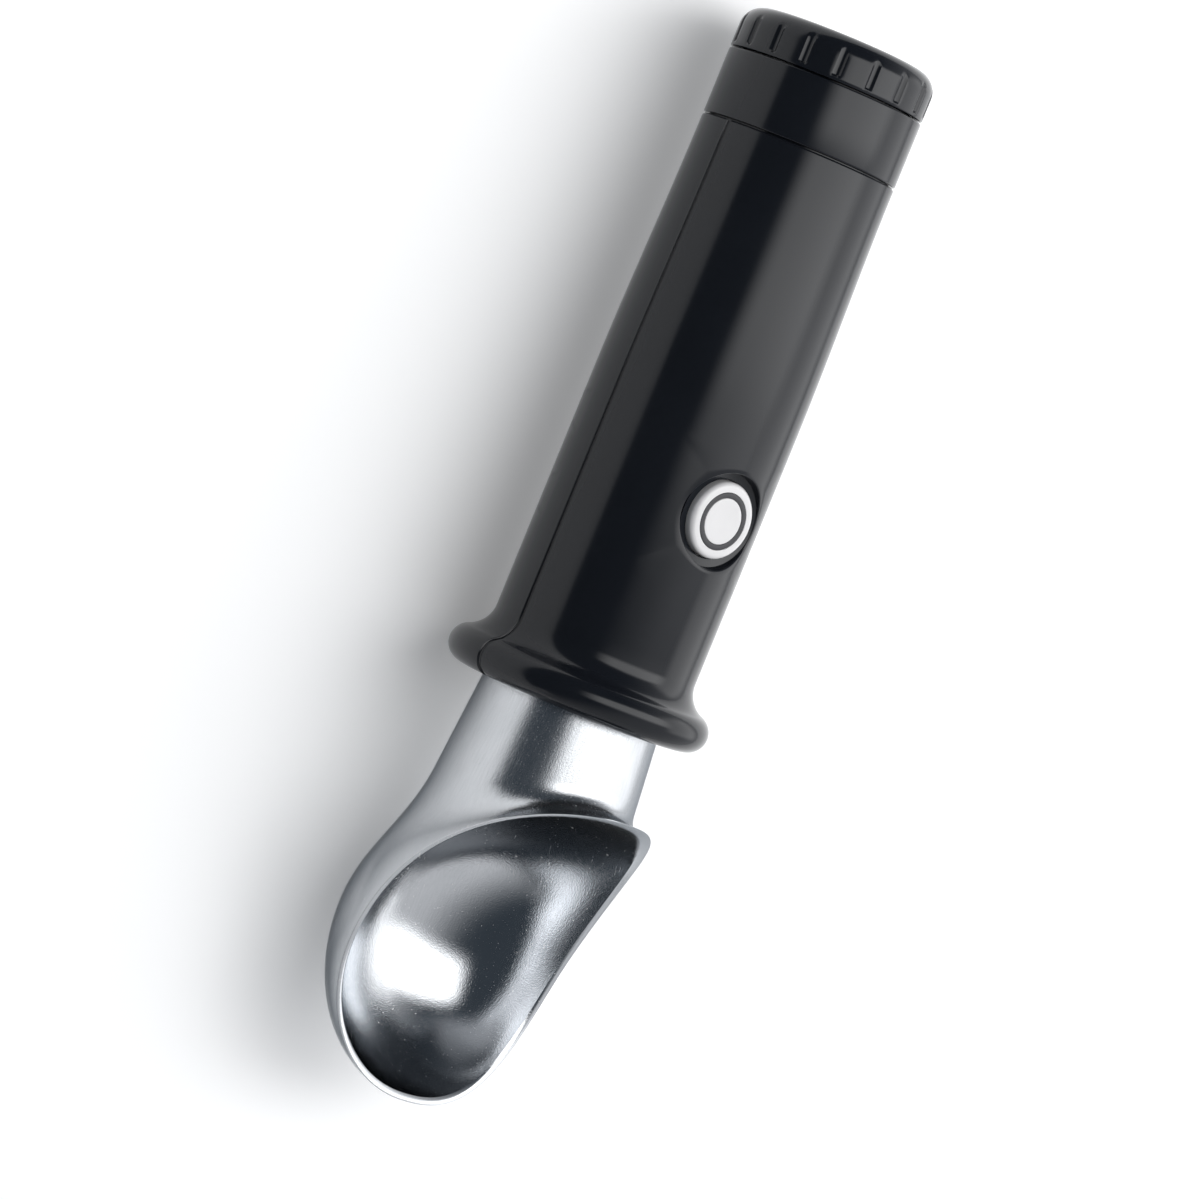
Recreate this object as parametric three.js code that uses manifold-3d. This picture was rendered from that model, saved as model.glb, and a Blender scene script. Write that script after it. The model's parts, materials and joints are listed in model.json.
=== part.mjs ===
// Heated ice cream scoop: a cast aluminium head with a cartridge heater, held in a two-shell grip that
// carries a push button, a control board and three AA cells behind a screw-on end cap.
// Millimetres. The grip's axis runs along X, the bowl's tip is at +X and the button faces +Z.
import * as THREE from "three";
import { mergeVertices } from "three/addons/utils/BufferGeometryUtils.js";
import Module from "manifold-3d";

const wasm = await Module();
wasm.setup();

// Driving dimensions. X stations count from the flange's front face, negative towards the end cap.
const FIT = 0.3; // between neighbouring pieces
const RUNNING = 0.2; // beside a piece that slides or turns
const BEARING = 0.1; // between faces that bear on each other

// Scoop head
const NECK_RADIUS = 17; // where the neck leaves the flange
const NECK_SWELL = 1.7; // how much wider the neck is where the sweep into the bowl starts
const NECK_DEPTH = 3.4; // how far the neck enters the flange
const LIP_X = 14.8; // back of the bowl's lip
const LIP_HEIGHT = 26; // top of the lip above the axis
const LIP_FILLET = 3.2; // radius of the fillet between neck and lip
const FILLET_REACH = 0.98; // share of the neck's half width that the fillet runs to
const FILLET_ROOT = 0.5; // share of the fillet that is sunk into the neck and the lip
const FILLET_LEAST = 0.1; // share of its radius that is left at the sides
const BOWL_LENGTH = 63.6; // lip to tip
const BOWL_RADIUS = 25.6; // back of the bowl, round the axis
const RIM_SPREAD = 0.2; // how far the rim stands out past the back of the bowl, seen from above
const BOWL_HALF_WIDTH = BOWL_RADIUS + RIM_SPREAD;
const BOWL_FLOOR = 2.8; // wall at the deepest point
const BACK_X = 48.6; // where the back of the bowl is widest
const SWEEP_START = 4; // behind the lip, where the neck starts to sweep out
const SWEEP_EASE = 12; // handle of the sweep at the neck
const SWEEP_RISE = 0.9; // rise of that handle
const SWEEP_CLOSE = 11; // handle of the sweep at the widest point
const NOSE_POWER = 0.92; // fullness of the round nose
const RIM_LAND = 1.2; // wall at the rim
const RIM_LIFT = 2.5; // how far the bowl's ribs still curve above the rim, where they are cut
const RIM_POWER = 2.3; // superellipse power of the rim seen from above
const RIM_DROP_X = 9.2; // handle that drops the rim steeply from the lip, seen from the side
const RIM_DROP_Z = 4;
const RIM_SAG_X = 35.2; // handle that draws the rim down beside the bowl
const RIM_SAG_Z = -11;
const TENON_RADIUS = 13.5;
const TENON_LENGTH = 26.6;

// Heater
const HEATER_RADIUS = 6;
const HEATER_LENGTH = 36;
const HEATER_FRONT_X = 13;
const RETAINER_LENGTH = 2.6;
const LEAD_HOLE = 4.4; // radius of the hole in the retainer
const CUTOUT_RADIUS = 1.8;
const CUTOUT_LENGTH = 4.2;
const CUTOUT_DROP = 2.2; // below the axis
const COLLAR_LENGTH = 21;
const COLLAR_RIB = 1; // how far the collar's rib stands out
const COLLAR_RIB_WIDTH = 3.6;
const CLIP_THICKNESS = 1.1;
const CLIP_DEPTH = 1.2; // groove in the tenon
const CLIP_REACH = 2; // how far the clip stands out of the tenon
const CLIP_MOUTH = 8;
const SEAL_WIRE = 1.7; // O-ring section diameter

// Grip
const FLANGE_DROP = 0.3; // the flange stays this far inside the bowl's back, which meets the table first
const FLANGE_RADIUS = BOWL_RADIUS - FLANGE_DROP;
const FLANGE_THICKNESS = 7.2;
const FLARE = 5.5; // radius of the sweep between grip and flange
const GRIP_RADIUS = 19.5; // from the flange to the button
const GRIP_REAR_RADIUS = 18.7;
const TAPER_X = -60; // where the grip starts to taper
const WALL = 2.4;
const SEAM_GAP = 0.3; // between the two shells
const SEAM_GROOVE = 0.5; // depth and half width of the groove along the seam
const BAY_LENGTH = 25.4; // from the tenon's end to the battery bulkhead
const BULKHEAD_THICKNESS = 1.6;
const BULKHEAD_GROOVE = 1; // depth of its groove in the shells

// Button
const BUTTON_X = -41.6;
const BUTTON_RADIUS = 7.2;
const BUTTON_TOP = 18.6; // height of the button's face above the axis
const BUTTON_TRAVEL = 1;
const BUTTON_EDGE = 0.9; // rounded edge of the face
const BUTTON_SHELL = 1.3; // wall of the moulding
const SKIRT_REACH = 0.7; // how far the skirt reaches out under the recess
const SKIRT_THICKNESS = 1.2;
const STEM_RADIUS = 1.5;
const INLAY_OUTER = 5.4;
const INLAY_INNER = 4.3;
const INLAY_DEPTH = 0.5;
const INLAY_FIT = 0.05;
const RECESS_RADIUS = 9;
const RECESS_Z = 17; // floor of the recess round the button
const RECESS_FLOOR = 2.4;
const RECESS_WALL = 1.6;

// Board and switch
const BOARD_LENGTH = 23;
const BOARD_WIDTH = 16.8;
const BOARD_THICKNESS = 1.6;
const BOARD_TOP = 8.1;
const SWITCH_SIDE = 6;
const SWITCH_HEIGHT = 3;
const PLUNGER_RADIUS = 1.75;
const PLUNGER_HEIGHT = 1.6;
const SPRING_WIRE = 0.35; // radius
const SPRING_COILS = 5;
const CHIP_LENGTH = 6.5;
const CHIP_WIDTH = 9;
const CHIP_HEIGHT = 2.3;
const CHIP_INSET = 10; // from the board's rear edge to the middle of the chip

// Fasteners
const SHELL_SCREW = { shank: 1.2, head: 2.3, headHeight: 1.8, length: 14 };
const BOARD_SCREW = { shank: 0.8, head: 1.6, headHeight: 1.1, length: 5 };
const SCREW_SEAT_Z = -7; // where the shell screws' heads bear in the lower shell
const PILOT_SPARE = 1; // pilot hole past the screw's end
const BOSS_RADIUS = 2.9;
const HEAD_WALL = 1.2; // round a sunk screw head
const POST_RADIUS = 1.9; // board posts
const POST_INSET = 2.1; // from the board's ends
const POST_SIDE = 2.4; // from the board's sides
const WIRE_RADIUS = 0.8;
const LEAD_SPREAD = 2.2; // leads beside the axis
const LEAD_RISE = 1.4; // leads above the axis in the tenon
const LEAD_BEND = 3; // straight stretch below the board
const LEAD_INSET = 5; // from the board's ends

// Battery bay
const CELL_RADIUS = 7.25;
const CELL_LENGTH = 50.5; // with its terminal
const CELL_SPACE = 0.1; // between the cells and the axis of the carrier
const NUB_RADIUS = 2.7;
const NUB_HEIGHT = 1.2;
const CELL_EDGE = 0.4;
const CARRIER_DISC = 1.7; // thickness of the carrier's end discs
const CARRIER_EDGE = 0.2; // discs past the cells
const SPINE_REACH = 2.6; // ribs of the spine past the cells' centres
const BAY_CLEARANCE = 0.4; // carrier in the shells
const CONTACT_THICKNESS = 0.4;
const PLATE_GAP = 0.05; // between a contact and the moulding that carries it
const CONTACT_RADIUS = 4.5;
const TAIL_RADIUS = 1;
const LINK_RADIUS = 3;
const STRIP_WIDTH = 4;
const STRIP_THICKNESS = 0.5;

// End cap
const CAP_LENGTH = 8.5; // outside, behind the rear ring
const CAP_EDGE = 4; // rounded edge of its rear face
const CAP_FLOOR = 2.6;
const CAP_WALL = 2;
const CAP_FLUTES = 18;
const FLUTE_RADIUS = 1;
const FLUTE_DEPTH = 0.5;
const RING_LENGTH = 6.5; // rear ring, behind the shells
const RING_SLEEVE = 6; // how far the ring reaches over the shells
const SLEEVE_WALL = 1.1;
const CAP_SPRING_WIRE = 0.5; // radius
const CAP_SPRING_COILS = 4;
const CAP_SPRING_WIDE = 9; // radius on the cap's floor
const CAP_SPRING_NARROW = 3.5; // radius at the tab

// Facets: sides of round pieces from large to small, then steps along curves
const ROUND = 28;
const MID_ROUND = 24;
const SMALL_ROUND = 16;
const PIN_ROUND = 12;
const SCREW_ROUND = 10;
const HOLE_ROUND = 8;
const SEAL_SIDES = 6;
const WIRE_SIDES = 5;
const WIRE_STEPS = 10;
const COIL_STEPS = 8; // in a turn
const CURVE_STEPS = 4;
const FLANGE_STEPS = 7;
const FLUTE_SIDES = 6;
const BAR_STEPS = 5;
const RIM_SIDE_STEPS = 26;
const RIM_STEPS = 44;
const DISH_RINGS = 7;
const FLOOR_FLAT = 0.4; // flat of the dish's floor, as a share of its first ring
const SWEEP_STEPS = 7;
const NOSE_STEPS = 9;

// Colours and finishes
const finish = (color, roughness, metalness) =>
  new THREE.MeshStandardMaterial({ color, roughness, metalness });
const castAluminium = finish(0xc9cbce, 0.22, 1);
const gripBlack = finish(0x14161a, 0.28, 0);
const trimBlack = finish(0x0c0d0f, 0.4, 0);
const buttonWhite = finish(0xe6e4e4, 0.3, 0);
const inlayGrey = finish(0x3c3d42, 0.45, 0);
const collarTan = finish(0xb9a888, 0.6, 0);
const siliconeRed = finish(0x8c3a2e, 0.7, 0);
const steel = finish(0xb8bcc2, 0.35, 1);
const nickel = finish(0xd2d0c8, 0.3, 1);
const boardGreen = finish(0x1f5a38, 0.5, 0);
const cellBlue = finish(0x27496d, 0.35, 0.2);
const wireRed = finish(0xa32020, 0.5, 0);
const wireBlack = finish(0x202022, 0.5, 0);
const ceramicWhite = finish(0xddd8cc, 0.6, 0);

// Solids. A closed geometry becomes a manifold solid, and a solid becomes a geometry again.
function solid(geometry) {
  const bare = geometry.clone();
  for (const name of Object.keys(bare.attributes)) {
    if (name !== "position") bare.deleteAttribute(name);
  }
  const merged = mergeVertices(bare, 1e-4);
  const triangles = [];
  for (let i = 0; i < merged.index.count; i += 3) {
    const [a, b, c] = [0, 1, 2].map((k) => merged.index.getX(i + k));
    if (a !== b && b !== c && c !== a) triangles.push(a, b, c);
  }
  const shell = (triVerts) =>
    new wasm.Manifold(
      new wasm.Mesh({
        numProp: 3,
        vertProperties: merged.attributes.position.array,
        triVerts: new Uint32Array(triVerts),
      }),
    );
  const made = shell(triangles);
  return made.volume() > 0 ? made : shell(triangles.reverse());
}

function geometryOf(made) {
  const mesh = made.getMesh();
  return new THREE.BufferGeometry()
    .setAttribute("position", new THREE.BufferAttribute(new Float32Array(mesh.vertProperties), 3))
    .setIndex(new THREE.BufferAttribute(new Uint32Array(mesh.triVerts), 1));
}

// A revolve round the X axis of a profile of [x, radius] points, closed on the axis or on itself.
function turnedX(profile, segments = ROUND) {
  const points = profile.map(([x, r]) => new THREE.Vector2(r, x));
  return solid(new THREE.LatheGeometry(points, segments).rotateZ(-Math.PI / 2));
}

// A revolve round a vertical line through [x, y] of a profile of [radius, z] points.
function turnedZ([x, y], profile, segments = SMALL_ROUND) {
  const points = profile.map(([r, z]) => new THREE.Vector2(r, z));
  return solid(new THREE.LatheGeometry(points, segments).rotateX(Math.PI / 2).translate(x, y, 0));
}

const ring = (profile) => [...profile, profile[0]];
const tubeX = (x0, x1, inner, outer, segments) =>
  turnedX(ring([[x0, inner], [x1, inner], [x1, outer], [x0, outer]]), segments);
const rodX = (x0, x1, r, segments = SMALL_ROUND) => turnedX([[x0, 0], [x0, r], [x1, r], [x1, 0]], segments);
const rodZ = (at, z0, z1, r, segments) => turnedZ(at, [[0, z0], [r, z0], [r, z1], [0, z1]], segments);
const tubeZ = (at, z0, z1, inner, outer, segments) =>
  turnedZ(at, ring([[inner, z0], [outer, z0], [outer, z1], [inner, z1]]), segments);

function box([x0, y0, z0], [x1, y1, z1]) {
  const made = new THREE.BoxGeometry(x1 - x0, y1 - y0, z1 - z0);
  return solid(made.translate((x0 + x1) / 2, (y0 + y1) / 2, (z0 + z1) / 2));
}

// Points of a round stretch, from one angle to another.
function arc([x, y], radius, from, to, steps) {
  return Array.from({ length: steps + 1 }, (_, i) => {
    const angle = from + ((to - from) * i) / steps;
    return [x + radius * Math.cos(angle), y + radius * Math.sin(angle)];
  });
}

// A round wire along a curve.
function tube(path, radius, sides, steps) {
  const rim = arc([0, 0], radius, 0, 2 * Math.PI, sides).slice(1);
  const section = new THREE.Shape(rim.map(([x, y]) => new THREE.Vector2(x, y)));
  return solid(new THREE.ExtrudeGeometry(section, { steps, bevelEnabled: false, extrudePath: path }));
}

function wire(points) {
  const path = new THREE.CatmullRomCurve3(points.map((p) => new THREE.Vector3(...p)));
  return tube(path, WIRE_RADIUS, WIRE_SIDES, WIRE_STEPS);
}

// A coil of so many turns, whose points come from place(share of the length, angle).
function coil(name, turns, wireRadius, place) {
  const steps = turns * COIL_STEPS;
  const step = (2 * Math.PI) / COIL_STEPS;
  const points = Array.from({ length: steps + 1 }, (_, i) => place(i / steps, step * i));
  let least = Infinity;
  points.forEach((a, i) => {
    for (const b of points.slice(i + COIL_STEPS / 2)) least = Math.min(least, a.distanceTo(b));
  });
  console.log(`${name}: least gap between its turns ${(least - 2 * wireRadius).toFixed(2)} mm`);
  return tube(new THREE.CatmullRomCurve3(points), wireRadius, WIRE_SIDES, steps);
}

// A closed body lofted through rings of points, closed by a fan at each end.
function loft(rings) {
  const sides = rings[0].length;
  const corners = rings.flat();
  const triangles = [];
  for (let k = 0; k + 1 < rings.length; k++) {
    for (let i = 0; i < sides; i++) {
      const [a, b] = [k * sides + i, k * sides + ((i + 1) % sides)];
      triangles.push(a, b, b + sides, a, b + sides, a + sides);
    }
  }
  const last = corners.length - sides;
  for (let i = 1; i + 1 < sides; i++) triangles.push(0, i + 1, i, last, last + i, last + i + 1);
  const made = new THREE.BufferGeometry().setFromPoints(corners);
  made.setIndex(triangles);
  return solid(made);
}

const part = new THREE.Group();
part.name = "heated_ice_cream_scoop";

function add(name, made, material) {
  const mesh = new THREE.Mesh(geometryOf(made), material);
  mesh.name = name;
  part.add(mesh);
}

// Scoop head. The rim is a superellipse seen from above and one cubic curve seen from the side.
const tipX = LIP_X + BOWL_LENGTH;
const bowlX = LIP_X + BOWL_LENGTH / 2;
const reach = 2 * Math.max(FLANGE_RADIUS, BOWL_RADIUS, LIP_HEIGHT); // past everything round the axis
const rimSide = new THREE.CubicBezierCurve(
  new THREE.Vector2(LIP_X, LIP_HEIGHT),
  new THREE.Vector2(LIP_X + RIM_DROP_X, RIM_DROP_Z),
  new THREE.Vector2(LIP_X + RIM_SAG_X, RIM_SAG_Z),
  new THREE.Vector2(tipX, 0),
).getPoints(RIM_SIDE_STEPS);

function rimHeight(x) {
  const next = rimSide.findIndex((p) => p.x > x);
  if (next < 0) return 0;
  if (next === 0) return LIP_HEIGHT;
  const [a, b] = [rimSide[next - 1], rimSide[next]];
  return a.y + ((b.y - a.y) * (x - a.x)) / (b.x - a.x);
}

// A point of the rim's outline seen from above, drawn in by inset. It starts at the tip.
function rimPlan(turn, inset = 0) {
  const spread = (value) => Math.sign(value) * Math.abs(value) ** (2 / RIM_POWER);
  const x = bowlX + (BOWL_LENGTH / 2 - inset) * spread(Math.cos(turn));
  return [x, (BOWL_HALF_WIDTH - inset) * spread(Math.sin(turn))];
}

// A dish that hangs from the rim, drawn in from it by inset and with its floor at depth below the axis.
// Its ribs run level out of the floor and stand up at the rim, and it runs on upwards past the lip.
function dish(inset, depth) {
  const rings = [];
  const ringOf = (out, height) =>
    Array.from({ length: RIM_STEPS }, (_, i) => {
      const [x, y] = rimPlan((2 * Math.PI * i) / RIM_STEPS, inset);
      return new THREE.Vector3(bowlX + (x - bowlX) * out, y * out, height(x));
    });
  const first = FLOOR_FLAT / DISH_RINGS;
  for (let k = 0; k <= DISH_RINGS; k++) {
    const angle = (Math.max(k / DISH_RINGS, first) * Math.PI) / 2;
    const rise = (x) => (rimHeight(x) + RIM_LIFT + depth) * (1 - Math.cos(angle)) - depth;
    rings.push(ringOf(Math.sin(angle), rise));
  }
  rings.push(ringOf(1, () => reach));
  return loft(rings);
}

// Everything above the rim, as a block whose lower face follows the rim seen from the side.
function aboveRim() {
  const side = new THREE.Shape();
  side.moveTo(LIP_X - LIP_FILLET - 1, reach);
  side.lineTo(LIP_X - LIP_FILLET - 1, LIP_HEIGHT);
  for (const p of rimSide) side.lineTo(p.x, p.y);
  side.lineTo(tipX + 1, 0);
  side.lineTo(tipX + 1, reach);
  const block = new THREE.ExtrudeGeometry(side, { depth: 2 * reach, bevelEnabled: false });
  return solid(block.rotateX(Math.PI / 2).translate(0, reach, 0));
}

// The neck sweeps out into the back of the bowl as one revolve, which ends in a round nose.
const shoulderX = -NECK_DEPTH;
const sweepX = LIP_X + SWEEP_START;
const sweepRadius = NECK_RADIUS + NECK_SWELL;
function neckAndBack() {
  const sweep = new THREE.CubicBezierCurve(
    new THREE.Vector2(sweepX, sweepRadius),
    new THREE.Vector2(sweepX + SWEEP_EASE, sweepRadius + SWEEP_RISE),
    new THREE.Vector2(BACK_X - SWEEP_CLOSE, BOWL_RADIUS),
    new THREE.Vector2(BACK_X, BOWL_RADIUS),
  ).getPoints(SWEEP_STEPS);
  const nose = arc([0, 0], 1, Math.PI / 2, 0, NOSE_STEPS).map(([along, up]) => [
    BACK_X + (tipX - BACK_X) * along,
    BOWL_RADIUS * Math.max(up, 0) ** NOSE_POWER,
  ]);
  const neck = [[shoulderX, 0], [shoulderX, NECK_RADIUS], [0, NECK_RADIUS]];
  return turnedX([...neck, ...sweep.map((p) => [p.x, p.y]), ...nose.slice(1, -1), [tipX, 0]]);
}

// Fillet in the corner between the neck and the back of the lip. It fades out towards both sides.
const neckRadiusAt = (x) => NECK_RADIUS + (NECK_SWELL * x) / sweepX;
function lipFillet() {
  const sections = 14;
  const nudge = 0.01;
  const rings = [];
  for (let i = 0; i <= sections; i++) {
    const y = sweepRadius * FILLET_REACH * Math.sin((i / sections - 0.5) * Math.PI);
    const turn = Math.PI - Math.sign(y) * Math.asin((Math.abs(y) / BOWL_HALF_WIDTH) ** (RIM_POWER / 2));
    const [x] = rimPlan(turn);
    const neck = neckRadiusAt(x);
    const up = new THREE.Vector3(0, y, Math.sqrt(neck * neck - y * y)).divideScalar(neck);
    const corner = up.clone().multiplyScalar(neck).setX(x);
    const [nearX, nearY] = rimPlan(turn + nudge);
    const [farX, farY] = rimPlan(turn - nudge);
    const wallOut = new THREE.Vector3(nearY - farY, farX - nearX, 0).normalize();
    if (wallOut.x > 0) wallOut.negate();
    const along = wallOut.clone().cross(up).normalize();
    const climb = wallOut.clone().cross(along);
    if (climb.dot(up) < 0) climb.negate();
    const back = up.clone().cross(along);
    if (back.dot(wallOut) < 0) back.negate();
    const size = LIP_FILLET * Math.max(1 - (y / sweepRadius) ** 4, FILLET_LEAST);
    const at = (u, v) => corner.clone().addScaledVector(back, size * u).addScaledVector(climb, size * v);
    const hollow = arc([1, 1], 1, Math.PI, 1.5 * Math.PI, CURVE_STEPS).map(([u, v]) => at(u, v));
    rings.push([at(-FILLET_ROOT, 1), ...hollow, at(1, -FILLET_ROOT), at(-FILLET_ROOT, -FILLET_ROOT)]);
  }
  return loft(rings);
}

const tenonEnd = shoulderX - TENON_LENGTH;
const collarFront = shoulderX - FIT;
const collarRear = collarFront - COLLAR_LENGTH;
const clipFront = collarRear - BEARING;
const clipRear = clipFront - CLIP_THICKNESS;
const sealX = shoulderX / 2;
const shellBore = NECK_RADIUS + FIT;
const neckSealSeat = shellBore - SEAL_WIRE - 2 * BEARING;
const sealHalf = SEAL_WIRE / 2 + BEARING;
const heaterRear = HEATER_FRONT_X - HEATER_LENGTH;

function scoopHead() {
  const depth = BOWL_RADIUS - BOWL_FLOOR;
  const groove = tubeX(clipRear - BEARING, clipFront + BEARING, TENON_RADIUS - CLIP_DEPTH, TENON_RADIUS + 1);
  return neckAndBack()
    .add(dish(0, depth))
    .add(lipFillet())
    .subtract(aboveRim())
    .subtract(dish(RIM_LAND, depth))
    .add(rodX(tenonEnd, shoulderX, TENON_RADIUS, ROUND))
    .subtract(groove)
    .subtract(tubeX(sealX - sealHalf, sealX + sealHalf, neckSealSeat, NECK_RADIUS + 1))
    .subtract(rodX(tenonEnd - 1, HEATER_FRONT_X + FIT, HEATER_RADIUS + RUNNING));
}
add("scoop_head", scoopHead(), castAluminium);

// Heater in the head's bore, the ring that holds it there, and the cut-out against overheating behind it.
const retainerFront = heaterRear - BEARING;
add("heater_cartridge", rodX(heaterRear, HEATER_FRONT_X, HEATER_RADIUS), ceramicWhite);
const retainerRear = retainerFront - RETAINER_LENGTH;
add("heater_retainer", tubeX(retainerRear, retainerFront, LEAD_HOLE, HEATER_RADIUS, SMALL_ROUND), steel);
const cutout = rodX(retainerFront - CUTOUT_LENGTH, retainerFront, CUTOUT_RADIUS, PIN_ROUND);
add("thermal_cutout", cutout.translate([0, 0, -CUTOUT_DROP]), nickel);

// Heat-resistant collar on the tenon. Its rib sits in a groove of the shells, and an open clip holds it.
const collarBore = TENON_RADIUS + FIT;
const ribX = (collarFront + collarRear) / 2;
const ribHalf = COLLAR_RIB_WIDTH / 2;
const thermalCollar = turnedX(
  ring([
    [collarFront, collarBore],
    [collarFront, NECK_RADIUS],
    [ribX + ribHalf, NECK_RADIUS],
    [ribX + ribHalf, NECK_RADIUS + COLLAR_RIB],
    [ribX - ribHalf, NECK_RADIUS + COLLAR_RIB],
    [ribX - ribHalf, NECK_RADIUS],
    [collarRear, NECK_RADIUS],
    [collarRear, collarBore],
  ]),
  MID_ROUND,
);
add("thermal_collar", thermalCollar, collarTan);
const clipSeat = TENON_RADIUS - CLIP_DEPTH + BEARING;
const clipOuter = TENON_RADIUS + CLIP_REACH;
const clipMouth = box([clipRear - 1, -CLIP_MOUTH / 2, 0], [clipFront + 1, CLIP_MOUTH / 2, clipOuter + 1]);
add("tenon_clip", tubeX(clipRear, clipFront, clipSeat, clipOuter).subtract(clipMouth), steel);

// An O-ring whose outside is at radius outer.
const sealRadius = SEAL_WIRE / 2;
const oRing = (x, outer) => turnedX(arc([x, outer - sealRadius], sealRadius, 0, 2 * Math.PI, SEAL_SIDES));
add("neck_seal", oRing(sealX, shellBore - BEARING), siliconeRed);

// Stations of the battery bay and the rear end, from the tenon backwards.
const bulkheadFront = tenonEnd - BAY_LENGTH;
const bulkheadRear = bulkheadFront - BULKHEAD_THICKNESS;
const carrierFront = bulkheadRear - 2 * CONTACT_THICKNESS - FIT;
const cellFront = carrierFront - CARRIER_DISC - CONTACT_THICKNESS - FIT;
const cellRear = cellFront - CELL_LENGTH;
const carrierRear = cellRear - FIT - CONTACT_THICKNESS - CARRIER_DISC;
const tabFront = carrierRear - CONTACT_THICKNESS - FIT;
const tabRear = tabFront - STRIP_THICKNESS;
const spigotFront = tabRear - FIT;
const ringRear = tabRear - FIT - RING_LENGTH;
const capFront = ringRear - FIT;
const capRear = capFront - CAP_LENGTH;
const cellCircle = (2 * CELL_RADIUS) / Math.sqrt(3) + CELL_SPACE;
const carrierRadius = cellCircle + CELL_RADIUS + CARRIER_EDGE;
const batteryBore = carrierRadius + BAY_CLEARANCE;

// Grip: one revolve with a round flange, parted along the axis into an upper and a lower shell.
const sleeveFront = tabRear + RING_SLEEVE;
const sleeveSeat = GRIP_REAR_RADIUS - SLEEVE_WALL - FIT;
const bayRadius = GRIP_RADIUS - WALL;
function gripOutline(inset) {
  const rim = FLANGE_THICKNESS / 2;
  const rise = GRIP_RADIUS + FLARE - (FLANGE_RADIUS - rim);
  const lean = Math.asin(rise / (rim + FLARE));
  const flareX = -rim - (rim + FLARE) * Math.cos(lean);
  return [
    ...arc([-rim, FLANGE_RADIUS - rim], rim - inset, 0, Math.PI - lean, FLANGE_STEPS),
    ...arc([flareX, GRIP_RADIUS + FLARE], FLARE + inset, -lean, -Math.PI / 2, CURVE_STEPS).slice(1),
    [TAPER_X, GRIP_RADIUS - inset],
    [sleeveFront, GRIP_REAR_RADIUS - inset],
  ];
}

function grip() {
  const ribGroove = NECK_RADIUS + COLLAR_RIB + FIT;
  const bulkheadGroove = bayRadius + BULKHEAD_GROOVE;
  return turnedX(
    ring([
      [0, shellBore],
      ...gripOutline(0),
      [sleeveFront, sleeveSeat],
      [tabRear, sleeveSeat],
      [tabRear, batteryBore],
      [bulkheadRear - FIT, batteryBore],
      [bulkheadRear - FIT, bulkheadGroove],
      [bulkheadFront + FIT, bulkheadGroove],
      [bulkheadFront + FIT, bayRadius],
      [tenonEnd, bayRadius],
      [tenonEnd, shellBore],
      [ribX - ribHalf - FIT, shellBore],
      [ribX - ribHalf - FIT, ribGroove],
      [ribX + ribHalf + FIT, ribGroove],
      [ribX + ribHalf + FIT, shellBore],
    ]),
  );
}

// Groove along the seam, seen as a thin double line on the outside.
function seamGroove() {
  const core = turnedX([[1, 0], [1, shellBore], ...gripOutline(SEAM_GROOVE), [sleeveFront, 0]]);
  return box([sleeveFront, -reach, -SEAM_GROOVE], [1, reach, SEAM_GROOVE]).subtract(core);
}

const gripOuter = turnedX([[0, 0], ...gripOutline(0), [sleeveFront, 0]]);
const upperSide = box([capRear, -reach, SEAM_GAP / 2], [reach, reach, reach]);
const lowerSide = box([capRear, -reach, -reach], [reach, reach, -SEAM_GAP / 2]);
const headBoss = SHELL_SCREW.head + FIT + HEAD_WALL;
const bossSide = BOARD_WIDTH / 2 + FIT + BOSS_RADIUS;
const bossStations = [tenonEnd - FIT - headBoss, bulkheadFront + FIT + headBoss];
const bossPlaces = bossStations.flatMap((x) => [[x, -bossSide], [x, bossSide]]);
const boardX = (tenonEnd + bulkheadFront) / 2;
const boardFront = boardX + BOARD_LENGTH / 2;
const boardRear = boardX - BOARD_LENGTH / 2;
const boardBottom = BOARD_TOP - BOARD_THICKNESS;
const postPlaces = [
  [boardFront - POST_INSET, BOARD_WIDTH / 2 - POST_SIDE],
  [boardRear + POST_INSET, POST_SIDE - BOARD_WIDTH / 2],
];
const buttonAt = [BUTTON_X, 0];
const recessBottom = RECESS_Z - RECESS_FLOOR;

const screwHole = (at, z0, z1, size) => rodZ(at, z0, z1, size.shank + RUNNING, HOLE_ROUND);
function upperShell() {
  let shell = grip();
  const well = rodZ(buttonAt, recessBottom, reach, RECESS_RADIUS + RECESS_WALL, MID_ROUND);
  const bosses = bossPlaces.map((at) => rodZ(at, 0, reach, BOSS_RADIUS, PIN_ROUND));
  const posts = postPlaces.map((at) => rodZ(at, BOARD_TOP + BEARING, reach, POST_RADIUS, PIN_ROUND));
  for (const inner of [well, ...bosses, ...posts]) shell = shell.add(inner.intersect(gripOuter));
  shell = shell.intersect(upperSide).subtract(seamGroove());
  const pilotTop = SCREW_SEAT_Z + SHELL_SCREW.length + PILOT_SPARE;
  for (const at of bossPlaces) shell = shell.subtract(screwHole(at, 0, pilotTop, SHELL_SCREW));
  const postTop = boardBottom + BOARD_SCREW.length + PILOT_SPARE;
  for (const at of postPlaces) shell = shell.subtract(screwHole(at, 0, postTop, BOARD_SCREW));
  return shell
    .subtract(rodZ(buttonAt, RECESS_Z, reach, RECESS_RADIUS, MID_ROUND))
    .subtract(rodZ(buttonAt, 0, reach, BUTTON_RADIUS + RUNNING, MID_ROUND));
}

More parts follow.
